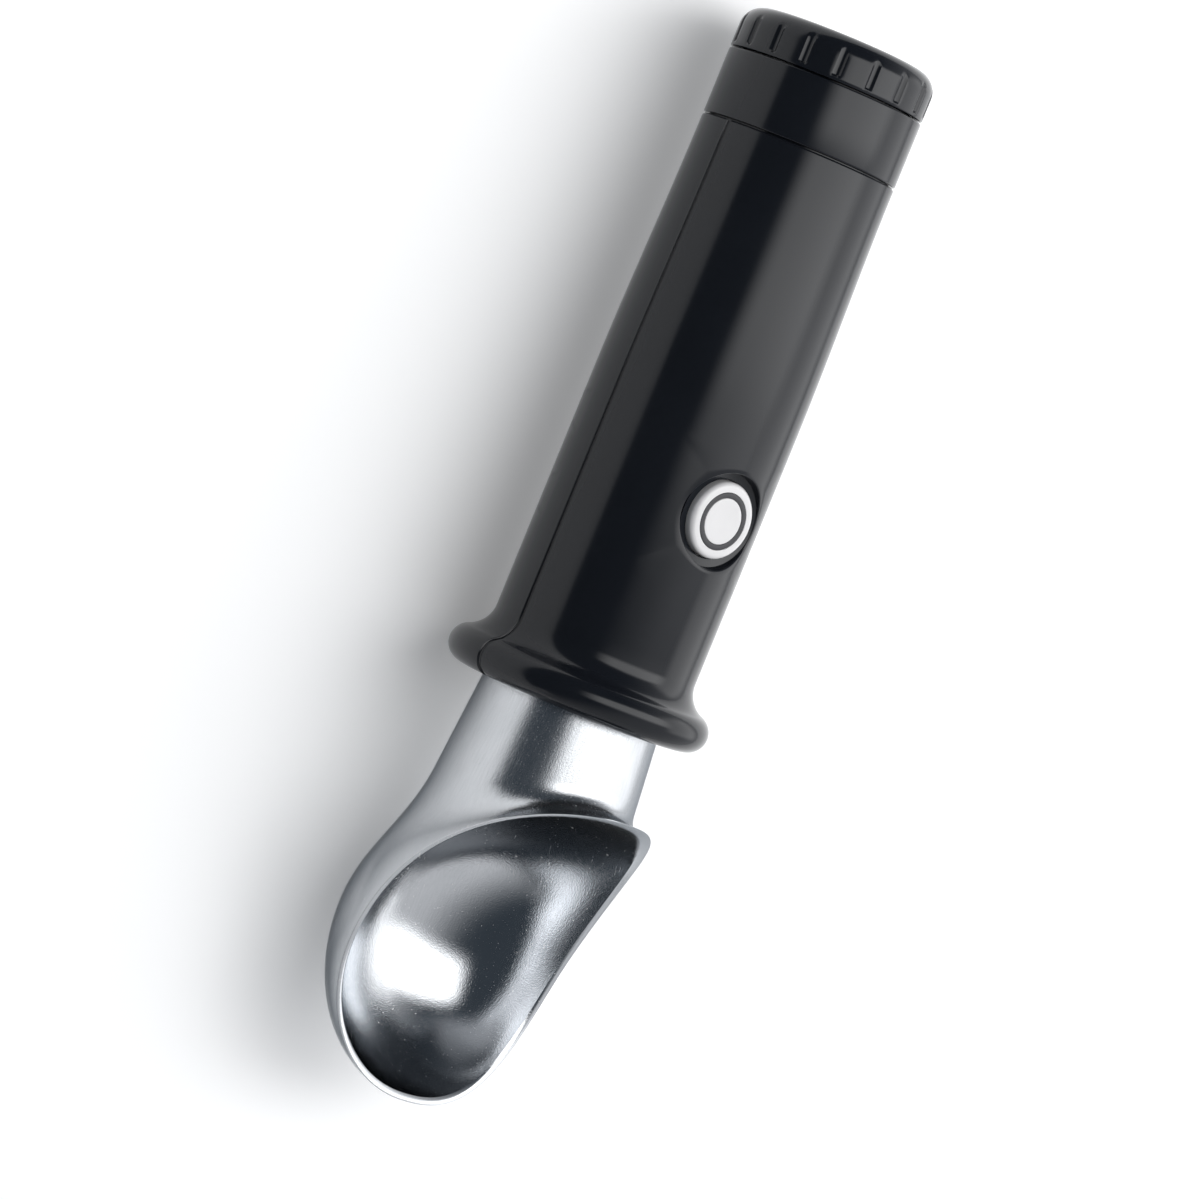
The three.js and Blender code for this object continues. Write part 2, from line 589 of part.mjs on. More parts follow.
function lowerShell() {
  let shell = grip();
  for (const at of bossPlaces) {
    shell = shell.add(rodZ(at, -reach, 0, headBoss, SMALL_ROUND).intersect(gripOuter));
  }
  shell = shell.intersect(lowerSide).subtract(seamGroove());
  for (const at of bossPlaces) {
    shell = shell.subtract(rodZ(at, -reach, SCREW_SEAT_Z, SHELL_SCREW.head + FIT, SMALL_ROUND));
    shell = shell.subtract(screwHole(at, -reach, reach, SHELL_SCREW));
  }
  return shell;
}
add("handle_upper_shell", upperShell(), gripBlack);
add("handle_lower_shell", lowerShell(), gripBlack);

// A pan-head screw that points up, with its head under the height seat.
function screw(at, seat, size) {
  const top = seat + size.length;
  const bottom = seat - size.headHeight;
  return turnedZ(
    at,
    [[0, bottom], [size.head, bottom], [size.head, seat], [size.shank, seat], [size.shank, top], [0, top]],
    SCREW_ROUND,
  );
}
bossPlaces.forEach((at, i) => {
  add(`shell_screw_${i + 1}`, screw(at, SCREW_SEAT_Z - BEARING, SHELL_SCREW), steel);
});

// Button: a moulded cap with an inlaid ring, its return spring and the switch below it.
const skirtTop = recessBottom - FIT;
const skirtBottom = skirtTop - SKIRT_THICKNESS;
const buttonBore = BUTTON_RADIUS - BUTTON_SHELL;
const buttonRoof = BUTTON_TOP - BUTTON_SHELL;
const switchTop = BOARD_TOP + SWITCH_HEIGHT;
const plungerTop = switchTop + BUTTON_TRAVEL + FIT;
const plungerBottom = plungerTop - PLUNGER_HEIGHT;
const stemBottom = plungerTop + BEARING;
function buttonCap() {
  const edge = [BUTTON_RADIUS - BUTTON_EDGE, BUTTON_TOP - BUTTON_EDGE];
  const face = arc(edge, BUTTON_EDGE, 0, Math.PI / 2, CURVE_STEPS);
  const cap = turnedZ(
    buttonAt,
    [
      [0, stemBottom],
      [STEM_RADIUS, stemBottom],
      [STEM_RADIUS, buttonRoof],
      [buttonBore, buttonRoof],
      [buttonBore, skirtBottom],
      [BUTTON_RADIUS + SKIRT_REACH, skirtBottom],
      [BUTTON_RADIUS + SKIRT_REACH, skirtTop],
      [BUTTON_RADIUS, skirtTop],
      ...face,
      [0, BUTTON_TOP],
    ],
    MID_ROUND,
  );
  return cap.subtract(tubeZ(buttonAt, BUTTON_TOP - INLAY_DEPTH, reach, INLAY_INNER, INLAY_OUTER, MID_ROUND));
}
add("button_cap", buttonCap(), buttonWhite);
const inlayBottom = BUTTON_TOP - INLAY_DEPTH + INLAY_FIT;
const inlayRadii = [INLAY_INNER + INLAY_FIT, INLAY_OUTER - INLAY_FIT];
add("button_inlay", tubeZ(buttonAt, inlayBottom, BUTTON_TOP, ...inlayRadii, MID_ROUND), inlayGrey);

function buttonSpring() {
  const radius = buttonBore - RUNNING - SPRING_WIRE;
  const low = BOARD_TOP + FIT + SPRING_WIRE;
  const high = buttonRoof - FIT - SPRING_WIRE;
  return coil("button_spring", SPRING_COILS, SPRING_WIRE, (share, angle) => {
    const [x, y] = [BUTTON_X + radius * Math.cos(angle), radius * Math.sin(angle)];
    return new THREE.Vector3(x, y, low + (high - low) * share);
  });
}
add("button_spring", buttonSpring(), steel);

const switchHalf = SWITCH_SIDE / 2;
const switchLow = [BUTTON_X - switchHalf, -switchHalf, BOARD_TOP + BEARING];
const wellFloor = plungerBottom - BUTTON_TRAVEL - FIT;
const plungerWell = rodZ(buttonAt, wellFloor, reach, PLUNGER_RADIUS + RUNNING, SMALL_ROUND);
const switchBody = box(switchLow, [BUTTON_X + switchHalf, switchHalf, switchTop]);
add("tact_switch", switchBody.subtract(plungerWell), trimBlack);
add("switch_plunger", rodZ(buttonAt, plungerBottom, plungerTop, PLUNGER_RADIUS, SMALL_ROUND), trimBlack);

// Control board, screwed up against two posts of the upper shell, with its power transistor underneath.
function controlBoard() {
  let board = box([boardRear, -BOARD_WIDTH / 2, boardBottom], [boardFront, BOARD_WIDTH / 2, BOARD_TOP]);
  for (const at of postPlaces) board = board.subtract(screwHole(at, 0, reach, BOARD_SCREW));
  return board;
}
add("control_board", controlBoard(), boardGreen);
postPlaces.forEach((at, i) => {
  add(`board_screw_${i + 1}`, screw(at, boardBottom - BEARING, BOARD_SCREW), steel);
});
const chipX = boardRear + CHIP_INSET;
const chipTop = boardBottom - BEARING;
add(
  "power_transistor",
  box(
    [chipX - CHIP_LENGTH / 2, -CHIP_WIDTH / 2, chipTop - CHIP_HEIGHT],
    [chipX + CHIP_LENGTH / 2, CHIP_WIDTH / 2, chipTop],
  ),
  trimBlack,
);

// Battery bulkhead, the cells in their carrier, and the metal that joins them to the board.
const bulkheadRadius = bayRadius + BULKHEAD_GROOVE - FIT;
const stripLow = -carrierRadius;
const stripTop = stripLow + STRIP_THICKNESS;
const stripHalf = STRIP_WIDTH / 2;
const stripSlot = box([capRear, -stripHalf - FIT, -reach], [0, stripHalf + FIT, stripTop + FIT]);
const tail = (x0, x1, [y, z], radius = TAIL_RADIUS) => rodX(x0, x1, radius, PIN_ROUND).translate([0, y, z]);
const leadPlace = [LEAD_SPREAD, 0];
const leadHole = tail(bulkheadRear - 1, bulkheadFront + 1, leadPlace, TAIL_RADIUS + RUNNING);
const bulkhead = rodX(bulkheadRear, bulkheadFront, bulkheadRadius, MID_ROUND);
add("battery_bulkhead", bulkhead.subtract(stripSlot).subtract(leadHole), trimBlack);
const contactRear = bulkheadRear - CONTACT_THICKNESS;
const contactPlate = rodX(contactRear, bulkheadRear - PLATE_GAP, CONTACT_RADIUS);
add("front_contact", contactPlate.add(tail(contactRear, bulkheadFront, leadPlace)), nickel);

const cellPlaces = [90, 210, 330].map((degrees) => {
  const turn = THREE.MathUtils.degToRad(degrees);
  return [cellCircle * Math.cos(turn), cellCircle * Math.sin(turn)];
});

// A flat bar with round ends between two [y, z] places.
function bar([y0, z0], [y1, z1], radius, x0, x1) {
  const turn = Math.atan2(z1 - z0, y1 - y0);
  const outline = [
    ...arc([y1, z1], radius, turn - Math.PI / 2, turn + Math.PI / 2, BAR_STEPS),
    ...arc([y0, z0], radius, turn + Math.PI / 2, turn + 1.5 * Math.PI, BAR_STEPS),
  ];
  const rings = [x0, x1].map((x) => outline.map(([y, z]) => new THREE.Vector3(x, y, z)));
  return loft(rings);
}

const frontInside = carrierFront - CARRIER_DISC;
const rearInside = carrierRear + CARRIER_DISC;
function linkFront(grow) {
  const rear = frontInside - CONTACT_THICKNESS - grow;
  return bar(cellPlaces[1], cellPlaces[2], LINK_RADIUS + grow, rear, frontInside - PLATE_GAP);
}
function linkRear(grow) {
  const front = rearInside + CONTACT_THICKNESS + grow;
  return bar(cellPlaces[0], cellPlaces[1], LINK_RADIUS + grow, rearInside + PLATE_GAP, front);
}

// Two discs joined by a spine, whose ribs stand between the cells.
function cellCarrier() {
  let carrier = rodX(frontInside, carrierFront, carrierRadius, MID_ROUND)
    .add(rodX(carrierRear, rearInside, carrierRadius, MID_ROUND))
    .add(rodX(carrierRear, carrierFront, cellCircle + SPINE_REACH));
  const cellSpace = rodX(rearInside, frontInside, CELL_RADIUS + FIT);
  for (const [y, z] of cellPlaces) carrier = carrier.subtract(cellSpace.translate([0, y, z]));
  return carrier
    .subtract(stripSlot)
    .subtract(linkFront(FIT))
    .subtract(linkRear(FIT))
    .subtract(tail(frontInside - 1, carrierFront + 1, cellPlaces[0], TAIL_RADIUS + RUNNING))
    .subtract(tail(carrierRear - 1, rearInside + 1, cellPlaces[2], TAIL_RADIUS + RUNNING));
}
add("cell_carrier", cellCarrier(), trimBlack);

// An AA cell. The middle one of the three is turned end for end, so that they are in series.
function cell(turned) {
  const shoulder = CELL_LENGTH - NUB_HEIGHT;
  const outline = [
    [0, 0],
    [0, CELL_RADIUS - CELL_EDGE],
    [CELL_EDGE, CELL_RADIUS],
    [shoulder - CELL_EDGE, CELL_RADIUS],
    [shoulder, CELL_RADIUS - CELL_EDGE],
    [shoulder, NUB_RADIUS],
    [CELL_LENGTH, NUB_RADIUS],
    [CELL_LENGTH, 0],
  ];
  return turnedX(outline.map(([x, r]) => [turned ? cellFront - x : cellRear + x, r]), SMALL_ROUND);
}
cellPlaces.forEach(([y, z], i) => add(`cell_${i + 1}`, cell(i === 1).translate([0, y, z]), cellBlue));

const frontPad = [carrierFront + PLATE_GAP, carrierFront + CONTACT_THICKNESS];
const rearPad = [carrierRear - CONTACT_THICKNESS, carrierRear - PLATE_GAP];
const centre = [0, 0];
add(
  "carrier_front_terminal",
  rodX(...frontPad, CONTACT_RADIUS, PIN_ROUND)
    .add(bar(centre, cellPlaces[0], LINK_RADIUS, ...frontPad))
    .add(tail(cellFront + BEARING, frontPad[1], cellPlaces[0])),
  nickel,
);
add(
  "carrier_rear_terminal",
  rodX(...rearPad, CONTACT_RADIUS, PIN_ROUND)
    .add(bar(centre, cellPlaces[2], LINK_RADIUS, ...rearPad))
    .add(tail(rearPad[0], cellRear - BEARING, cellPlaces[2])),
  nickel,
);
add("cell_link_front", linkFront(0), nickel);
add("cell_link_rear", linkRear(0), nickel);
const stripFront = bulkheadFront + STRIP_WIDTH;
const strip = box([tabRear, -stripHalf, stripLow], [stripFront, stripHalf, stripTop]);
const tab = box([tabRear, -stripHalf, stripLow], [tabFront, stripHalf, CONTACT_RADIUS]);
add("negative_strip", strip.add(tab), nickel);

// Insulated leads from the heater and from the battery to the underside of the board.
const leadTop = boardBottom - FIT;
function heaterLead(side) {
  const across = side * LEAD_SPREAD;
  const x = boardFront - LEAD_INSET;
  return wire([
    [heaterRear - FIT, across, LEAD_RISE],
    [(heaterRear + tenonEnd) / 2, across, LEAD_RISE],
    [tenonEnd, across, LEAD_RISE],
    [x, across, leadTop - LEAD_BEND],
    [x, across, leadTop],
  ]);
}
add("heater_lead_live", heaterLead(1), wireRed);
add("heater_lead_return", heaterLead(-1), wireBlack);
const leadX = boardRear + LEAD_INSET;
add(
  "battery_lead_positive",
  wire([
    [bulkheadFront + FIT, ...leadPlace],
    [leadX - WIRE_RADIUS, ...leadPlace],
    [leadX, LEAD_SPREAD, leadTop - LEAD_BEND],
    [leadX, LEAD_SPREAD, leadTop],
  ]),
  wireRed,
);
add(
  "battery_lead_negative",
  wire([
    [stripFront - stripHalf, 0, stripTop + FIT],
    [stripFront - stripHalf, 0, stripTop + LEAD_BEND],
    [leadX, -LEAD_SPREAD, leadTop - LEAD_BEND],
    [leadX, -LEAD_SPREAD, leadTop],
  ]),
  wireBlack,
);

// Rear ring over the ends of the shells, and the end cap that screws into it.
const spigotRadius = batteryBore - RUNNING;
add(
  "rear_ring",
  turnedX(
    ring([
      [sleeveFront - FIT, sleeveSeat + FIT],
      [sleeveFront - FIT, GRIP_REAR_RADIUS],
      [ringRear, GRIP_REAR_RADIUS],
      [ringRear, batteryBore],
      [spigotFront, batteryBore],
      [spigotFront, sleeveSeat + FIT],
    ]),
  ),
  gripBlack,
);
const capSealX = capFront + FIT + sealHalf;
const capSealSeat = batteryBore - SEAL_WIRE - 2 * BEARING;
const capFloor = capRear + CAP_FLOOR;
function endCap() {
  const bore = capSealSeat - CAP_WALL;
  let cap = turnedX([
    [capFloor, 0],
    [capFloor, bore],
    [spigotFront, bore],
    [spigotFront, spigotRadius],
    [capFront, spigotRadius],
    [capFront, GRIP_REAR_RADIUS],
    ...arc([capRear + CAP_EDGE, GRIP_REAR_RADIUS - CAP_EDGE], CAP_EDGE, Math.PI / 2, Math.PI, CURVE_STEPS),
    [capRear, 0],
  ]);
  cap = cap.subtract(tubeX(capSealX - sealHalf, capSealX + sealHalf, capSealSeat, spigotRadius + 1));
  const flute = rodX(capRear - 1, capFront - 1, FLUTE_RADIUS, FLUTE_SIDES);
  const out = GRIP_REAR_RADIUS + FLUTE_RADIUS - FLUTE_DEPTH;
  for (let i = 0; i < CAP_FLUTES; i++) {
    const turn = (2 * Math.PI * (i + 0.5)) / CAP_FLUTES;
    cap = cap.subtract(flute.translate([0, out * Math.cos(turn), out * Math.sin(turn)]));
  }
  return cap;
}
add("end_cap", endCap(), gripBlack);
add("end_cap_seal", oRing(capSealX, batteryBore - BEARING), siliconeRed);

// Tapered spring in the cap, which presses the strip's tab and the cells forward.
function capSpring() {
  const start = capFloor + CAP_SPRING_WIRE + FIT;
  const end = tabRear - CAP_SPRING_WIRE - FIT;
  return coil("cap_spring", CAP_SPRING_COILS, CAP_SPRING_WIRE, (share, angle) => {
    const radius = CAP_SPRING_WIDE + (CAP_SPRING_NARROW - CAP_SPRING_WIDE) * share;
    const x = start + (end - start) * share;
    return new THREE.Vector3(x, radius * Math.cos(angle), radius * Math.sin(angle));
  });
}
add("cap_spring", capSpring(), steel);

// The origin lies under the middle of the part, on the surface that it rests on.
part.position.set(-(tipX + capRear) / 2, 0, Math.max(FLANGE_RADIUS, BOWL_RADIUS));

export default part;
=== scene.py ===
# %% [markdown]
# # A heated ice cream scoop
# The scoop is a cast aluminium head in a black two-shell grip, with a push button on the grip and a
# screw-on cap at its rear. The imported model gives the place of every piece, so the first cell loads
# it and keeps its pieces, whose boxes place the dressed model.

# %% The frame
import json
import math

import bmesh
import bpy
import numpy as np
from mathutils import Matrix, Vector


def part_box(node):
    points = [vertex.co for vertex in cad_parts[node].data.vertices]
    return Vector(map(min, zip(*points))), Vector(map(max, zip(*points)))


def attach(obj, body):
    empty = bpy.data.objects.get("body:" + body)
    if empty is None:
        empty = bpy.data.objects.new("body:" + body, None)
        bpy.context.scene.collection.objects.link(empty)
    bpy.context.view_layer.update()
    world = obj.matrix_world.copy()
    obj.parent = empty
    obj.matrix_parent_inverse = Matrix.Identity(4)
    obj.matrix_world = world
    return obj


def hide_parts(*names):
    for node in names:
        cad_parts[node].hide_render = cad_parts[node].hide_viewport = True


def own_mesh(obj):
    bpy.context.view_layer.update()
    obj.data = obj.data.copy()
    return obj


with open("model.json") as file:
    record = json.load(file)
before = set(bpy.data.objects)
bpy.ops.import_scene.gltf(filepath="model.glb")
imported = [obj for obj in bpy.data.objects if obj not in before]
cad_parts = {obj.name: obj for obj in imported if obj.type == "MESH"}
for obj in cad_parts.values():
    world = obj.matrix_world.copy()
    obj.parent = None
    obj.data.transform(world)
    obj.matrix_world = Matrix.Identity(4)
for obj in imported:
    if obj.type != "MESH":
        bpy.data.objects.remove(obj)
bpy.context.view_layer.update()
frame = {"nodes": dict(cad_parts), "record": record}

# %% [markdown]
# Shapes are easier to write in millimetres about the grip's axis, with x = 0 on the front face of
# the flange and the tip at +x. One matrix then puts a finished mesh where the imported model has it:
# the flange's face comes from the upper shell's box and the axis height from the end cap's box.

# %% Axis frame
flange_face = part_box("handle_upper_shell")[1].x
cap_low, cap_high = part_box("end_cap")
axis_height = (cap_low.z + cap_high.z) / 2
MM = 0.001
TO_FRAME = Matrix.Translation((flange_face, 0, axis_height)) @ Matrix.Scale(MM, 4)
print("flange face", round(flange_face, 4), "axis height", round(axis_height, 4))


def axis_box(node):
    """A node's lowest and highest corners in millimetres about the axis."""
    back = TO_FRAME.inverted()
    return tuple(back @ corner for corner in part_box(node))


# %% [markdown]
# The photograph looks almost square on to the grip's axis, from 47 degrees above the table, with
# the tip hanging down to the left. The camera is built from the direction it stands in and from the
# heading of the axis in the picture. A long lens at a metre keeps the drawing as parallel as the
# photograph's.

# %% Camera
PHOTO_SIZE = 1200  # pixels
PIXELS_PER_MM = 5.5
FLANGE_PIXEL = Vector((571.0, 705.5))  # where the axis meets the flange's front face
AXIS_HEADING = math.radians(22.3)  # the tip points down, turned this far to the left
VIEW_TURN = math.radians(43)  # from straight above, round the axis
VIEW_LEAN = math.radians(2)  # towards the grip
VIEW_DISTANCE = 1.0
SENSOR = 36.0

level = math.cos(VIEW_LEAN)
backward = Vector((-math.sin(VIEW_LEAN), -level * math.sin(VIEW_TURN), level * math.cos(VIEW_TURN)))
along = (Vector((1, 0, 0)) - backward * backward.x).normalized()
across = backward.cross(along)
right = across * math.cos(AXIS_HEADING) - along * math.sin(AXIS_HEADING)
upward = -along * math.cos(AXIS_HEADING) - across * math.sin(AXIS_HEADING)
offset = (FLANGE_PIXEL - Vector((PHOTO_SIZE, PHOTO_SIZE)) / 2) / PIXELS_PER_MM * MM
aim = TO_FRAME.translation - right * offset.x + upward * offset.y

view = bpy.data.cameras.new("view")
view.sensor_width = SENSOR
view.lens = SENSOR * VIEW_DISTANCE / (PHOTO_SIZE / PIXELS_PER_MM * MM)
camera = bpy.data.objects.new("view", view)
camera.matrix_world = Matrix((right, upward, backward)).transposed().to_4x4()
camera.location = aim + backward * VIEW_DISTANCE
bpy.context.scene.collection.objects.link(camera)
bpy.context.scene.camera = camera
print("lens", round(view.lens, 1), "camera at", tuple(round(c, 3) for c in camera.location))

# %% [markdown]
# Lamps, room, floor and finishes are all node trees. `node` writes a node with its settings and
# links, and three short helpers write those that come up again and again: one combines two values,
# one maps a value onto a range and one mixes two colours.

# %% Node helpers
MIX_NUMBERS = [None] * 5  # inputs of a Mix node between its factor and its colours
MIX_COLOUR = 2  # its output for colours


def node(tree, kind, *values, **settings):
    """The outputs of a new node. Its inputs take the values in turn: another node's output, a constant,
    or None to leave an input as it is."""
    made = tree.nodes.new(f"ShaderNode{kind}")
    for key, setting in settings.items():
        setattr(made, key, setting)
    for end, value in zip(made.inputs, values):
        if isinstance(value, bpy.types.NodeSocket):
            tree.links.new(value, end)
        elif value is not None:
            end.default_value = value
    return made.outputs


def combined(tree, operation, one, two):
    return node(tree, "Math", one, two, operation=operation)["Value"]


def graded(tree, value, span=(0, 1), to=(0, 1), smooth=False):
    """A value mapped from one range onto another, with soft ends if smooth."""
    ease = "SMOOTHSTEP" if smooth else "LINEAR"
    return node(tree, "MapRange", value, *span, *to, interpolation_type=ease)["Result"]


def mixed(tree, factor, low, high):
    """A mix of two colours by a mask. Either colour may be another node's output."""
    ends = [c if isinstance(c, bpy.types.NodeSocket) else (*c, 1) for c in (low, high)]
    return node(tree, "Mix", factor, *MIX_NUMBERS, *ends, data_type="RGBA")[MIX_COLOUR]


def set_inputs(made, **values):
    """Sets a node's inputs by name, with _ for a space."""
    for key, value in values.items():
        made.inputs[key.replace("_", " ")].default_value = value


# %% [markdown]
# Polished metal shows its surroundings more than itself, so the stage is part of the look. One long
# softbox hangs overhead, on the grip's side of the bowl, and gives the white patches in the bowl
# and the band along the grip. A second one fills from behind, and a small one lights the tip. A
# plain lamp would show a hard rectangle in the metal, so each fades out towards its edges.

# %% Stage
scene = bpy.context.scene
scene.view_settings.view_transform = "Standard"


def softbox(name, centre, size, brightness, target, edge):
    """A rectangular lamp that faces a point. Its brightness is what a mirror would show in the middle,
    and it fades over the outer share that edge gives."""
    lamp = bpy.data.lights.new(name, "AREA")
    lamp.shape = "RECTANGLE"
    lamp.size, lamp.size_y = size
    lamp.energy = brightness * math.pi * size[0] * size[1]
    lamp.use_nodes = True
    tree = lamp.node_tree
    spot = node(tree, "TexCoord")["UV"]  # from 0 to 1 across the lamp
    centred = node(tree, "VectorMath", spot, (2, 2, 0), (-1, -1, 0), operation="MULTIPLY_ADD")["Vector"]
    apart = node(tree, "SeparateXYZ", node(tree, "VectorMath", centred, operation="ABSOLUTE")["Vector"])
    sides = [graded(tree, apart[axis], (1, 1 - edge), smooth=True) for axis in "XY"]
    strength = combined(tree, "MULTIPLY", *sides)
    tree.links.new(strength, tree.nodes["Emission"].inputs["Strength"])
    body = bpy.data.objects.new(name, lamp)
    body.location = centre
    body.rotation_mode = "QUATERNION"
    body.rotation_quaternion = (Vector(target) - Vector(centre)).to_track_quat("-Z", "Y")
    scene.collection.objects.link(body)


softbox("overhead_box", (-0.30, 0.15, 0.86), (0.74, 1.8), 3.0, (-0.30, 0.15, 0), edge=0.55)
softbox("back_box", (-0.22, 0.95, 0.50), (1.3, 1.0), 1.1, (0, 0, 0.03), edge=0.5)
softbox("tip_box", (0.75, -0.5, 0.12), (0.3, 0.25), 0.7, (0.05, 0, 0.03), edge=0.8)

# %% [markdown]
# The room is grey behind the scoop and dark on the camera's side, which draws the dark zones of the
# metal. Its shade depends only on the direction, so it needs no walls.

# %% The room's light
ROOM_DARK = (0.050, 0.062, 0.076)
ROOM_GREY = (0.73, 0.74, 0.76)
PALE_SIDE = Vector((0.5, 0.85, 0.1)).normalized()  # direction of the room's pale wall
ROOM_FADE = (-0.3, 0.55)  # cosines from that direction, between which dark turns to grey

world = bpy.data.worlds.new("studio")
world.use_nodes = True
room = world.node_tree
heading = node(room, "TexCoord")["Generated"]
towards = node(room, "VectorMath", heading, PALE_SIDE, operation="DOT_PRODUCT")["Value"]
shade = mixed(room, graded(room, towards, ROOM_FADE, smooth=True), ROOM_DARK, ROOM_GREY)
room.links.new(shade, room.nodes["Background"].inputs["Color"])
scene.world = world

# %% [markdown]
# The floor is white paper, which keeps the scoop's soft shadow. More light would turn it white, but
# would also bleach the scoop. It has a faint glow instead that only the camera and mirrors see.

# %% Floor
FLOOR_HALF = 3.0
FLOOR_WHITE = (0.96, 0.96, 0.96, 1)
FLOOR_ROUGHNESS = 0.9
FLOOR_GLOW = (0.2, 0.2, 0.2, 1)

floor_mesh = bmesh.new()
bmesh.ops.create_grid(floor_mesh, x_segments=1, y_segments=1, size=FLOOR_HALF)
floor_data = bpy.data.meshes.new("floor")
floor_mesh.to_mesh(floor_data)
floor_mesh.free()
floor = bpy.data.objects.new("floor", floor_data)
scene.collection.objects.link(floor)
paper = bpy.data.materials.new("paper")
paper.use_nodes = True
paper_shader = paper.node_tree.nodes["Principled BSDF"]
set_inputs(paper_shader, Base_Color=FLOOR_WHITE, Roughness=FLOOR_ROUGHNESS, Emission_Color=FLOOR_GLOW)
rays = node(paper.node_tree, "LightPath")
seen = rays["Is Camera Ray"]
for ray in ("Is Glossy Ray", "Is Transmission Ray"):
    seen = combined(paper.node_tree, "MAXIMUM", seen, rays[ray])
paper.node_tree.links.new(seen, paper_shader.inputs["Emission Strength"])
floor_data.materials.append(paper)

# %% [markdown]
# Three helpers carry most of the modelling. `sheet` makes a flat grid and wraps it, point by point,
# into a surface, which suits lofts. `turned` spins an outline round a line, as a lathe does.
# `rounded` gives the corners of such an outline a small radius, because no real moulded or cast
# edge is sharp.

# %% Modelling helpers
TURN_STEPS = 96
WELD = 1e-4
SHARP_ANGLE = math.radians(32)
CORNER_SHARE = 0.45  # most of a side that a corner's arc may take
LEAST_ARC = 1e-3
NEARLY_STRAIGHT = math.radians(175)


def sheet(columns, rows, place):
    """A grid that is wrapped: the point in column u and row v goes to place(u, v)."""
    bm = bmesh.new()
    for vert in bmesh.ops.create_grid(bm, x_segments=columns, y_segments=rows, size=1)["verts"]:
        u = round((vert.co.x + 1) / 2 * columns)
        v = round((vert.co.y + 1) / 2 * rows)
        vert.co = place(u, v)
    return bm


def turned(outline, centre, axis, steps=TURN_STEPS):
    """An outline of points, spun once round the line through centre along axis."""
    bm = bmesh.new()
    corners = [bm.verts.new(point) for point in outline]
    edges = [bm.edges.new(pair) for pair in zip(corners, corners[1:])]
    spun = {"cent": centre, "axis": axis, "angle": 2 * math.pi, "steps": steps}
    bmesh.ops.spin(bm, geom=corners + edges, use_merge=True, **spun)
    return bm


def drawn_out(bm, edges):
    """Extrudes a border and returns the new one, as edges and as points."""
    made = bmesh.ops.extrude_edge_only(bm, edges=edges)["geom"]
    border = [g for g in made if isinstance(g, bmesh.types.BMEdge)]
    return border, {v for e in border for v in e.verts}


def rounded(outline, radius, steps=4, closed=False):
    """Replaces the corners of a flat outline by arcs, smaller ones where the sides are short."""
    points = [Vector(p) for p in outline]
    count = len(points)
    made = []
    for i, corner in enumerate(points):
        if not closed and i in (0, count - 1):
            made.append(corner)
            continue
        before = points[i - 1] - corner
        after = points[(i + 1) % count] - corner
        bend = before.angle(after)
        shorter = min(before.length, after.length)
        reach = min(radius / math.tan(bend / 2), shorter * CORNER_SHARE)
        if reach < LEAST_ARC or bend > NEARLY_STRAIGHT:
            made.append(corner)
            continue
        before, after = before.normalized(), after.normalized()
        first = corner + before * reach
        last = corner + after * reach
        middle = corner + (before + after).normalized() * (reach / math.cos(bend / 2))
        size = reach * math.tan(bend / 2)
        for k in range(steps + 1):
            spoke = (first - middle).lerp(last - middle, k / steps).normalized()
            made.append(middle + spoke * size)
    return made


def stepped(along, out):
    """Corners of an outline that steps out or in at each place along it."""
    return [(x, r) for i, x in enumerate(along) for r in out[i : i + 2]]


def along_axis(outline):
    """Points (x, radius) as places in the plane y = 0 above the axis."""
    return [(x, 0, r) for x, r in outline]


def piece(bm, name, body, slot, nodes):
    """Closes, places and finishes a mesh that was modelled in millimetres about the axis, and hangs it
    on its body in place of the nodes.
    """
    bmesh.ops.remove_doubles(bm, verts=bm.verts, dist=WELD)
    bmesh.ops.recalc_face_normals(bm, faces=bm.faces)
    bmesh.ops.transform(bm, matrix=TO_FRAME, verts=bm.verts)
    open_edges = sum(not edge.is_manifold for edge in bm.edges)
    mesh = bpy.data.meshes.new(name)
    bm.to_mesh(mesh)
    bm.free()
    mesh.materials.append(FINISHES[slot])
    for polygon in mesh.polygons:
        polygon.use_smooth = True
    mesh.set_sharp_from_angle(angle=SHARP_ANGLE)
    made = bpy.data.objects.new(name, mesh)
    scene.collection.objects.link(made)
    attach(made, body)
    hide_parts(*nodes)
    print(f"{name}: {len(mesh.polygons)} faces, {open_edges} open edges")
    return made


# %% [markdown]
# A finish is a Principled shader whose colour, roughness and bump come from the surface itself.
# What several finishes share, a fine grain and a slow unevenness, is one node group that reads
# object coordinates and puts out both.

# %% Shared grain
GRAIN_DETAIL = 4


def socket(group, name, direction):
    """A number that goes into a node group or comes out of it."""
    group.interface.new_socket(name=name, in_out=direction, socket_type="NodeSocketFloat")


def grain_group():
    """Two noises on object coordinates: a slow one for unevenness and a fine one for grain."""
    group = bpy.data.node_groups.new("grain", "ShaderNodeTree")
    for out in ("Fine", "Slow"):
        socket(group, f"{out} Scale", "INPUT")
        socket(group, out, "OUTPUT")
    scales = group.nodes.new("NodeGroupInput").outputs
    results = group.nodes.new("NodeGroupOutput").inputs
    place = node(group, "TexCoord")["Object"]
    for out in ("Fine", "Slow"):
        noise = node(group, "TexNoise", place, None, scales[f"{out} Scale"], GRAIN_DETAIL)
        group.links.new(noise["Fac"], results[out])
    return group


GRAIN = grain_group()
print("grain:", [s.name for s in GRAIN.interface.items_tree])

# %% [markdown]
# Wear is a second shared group. Scratches are noise that is stretched along two slanted directions
# and cut off high, so that only thin streaks are left. Pits are the middles of a few Voronoi cells,
# and the polishing lines are noise that is drawn out along the axis.

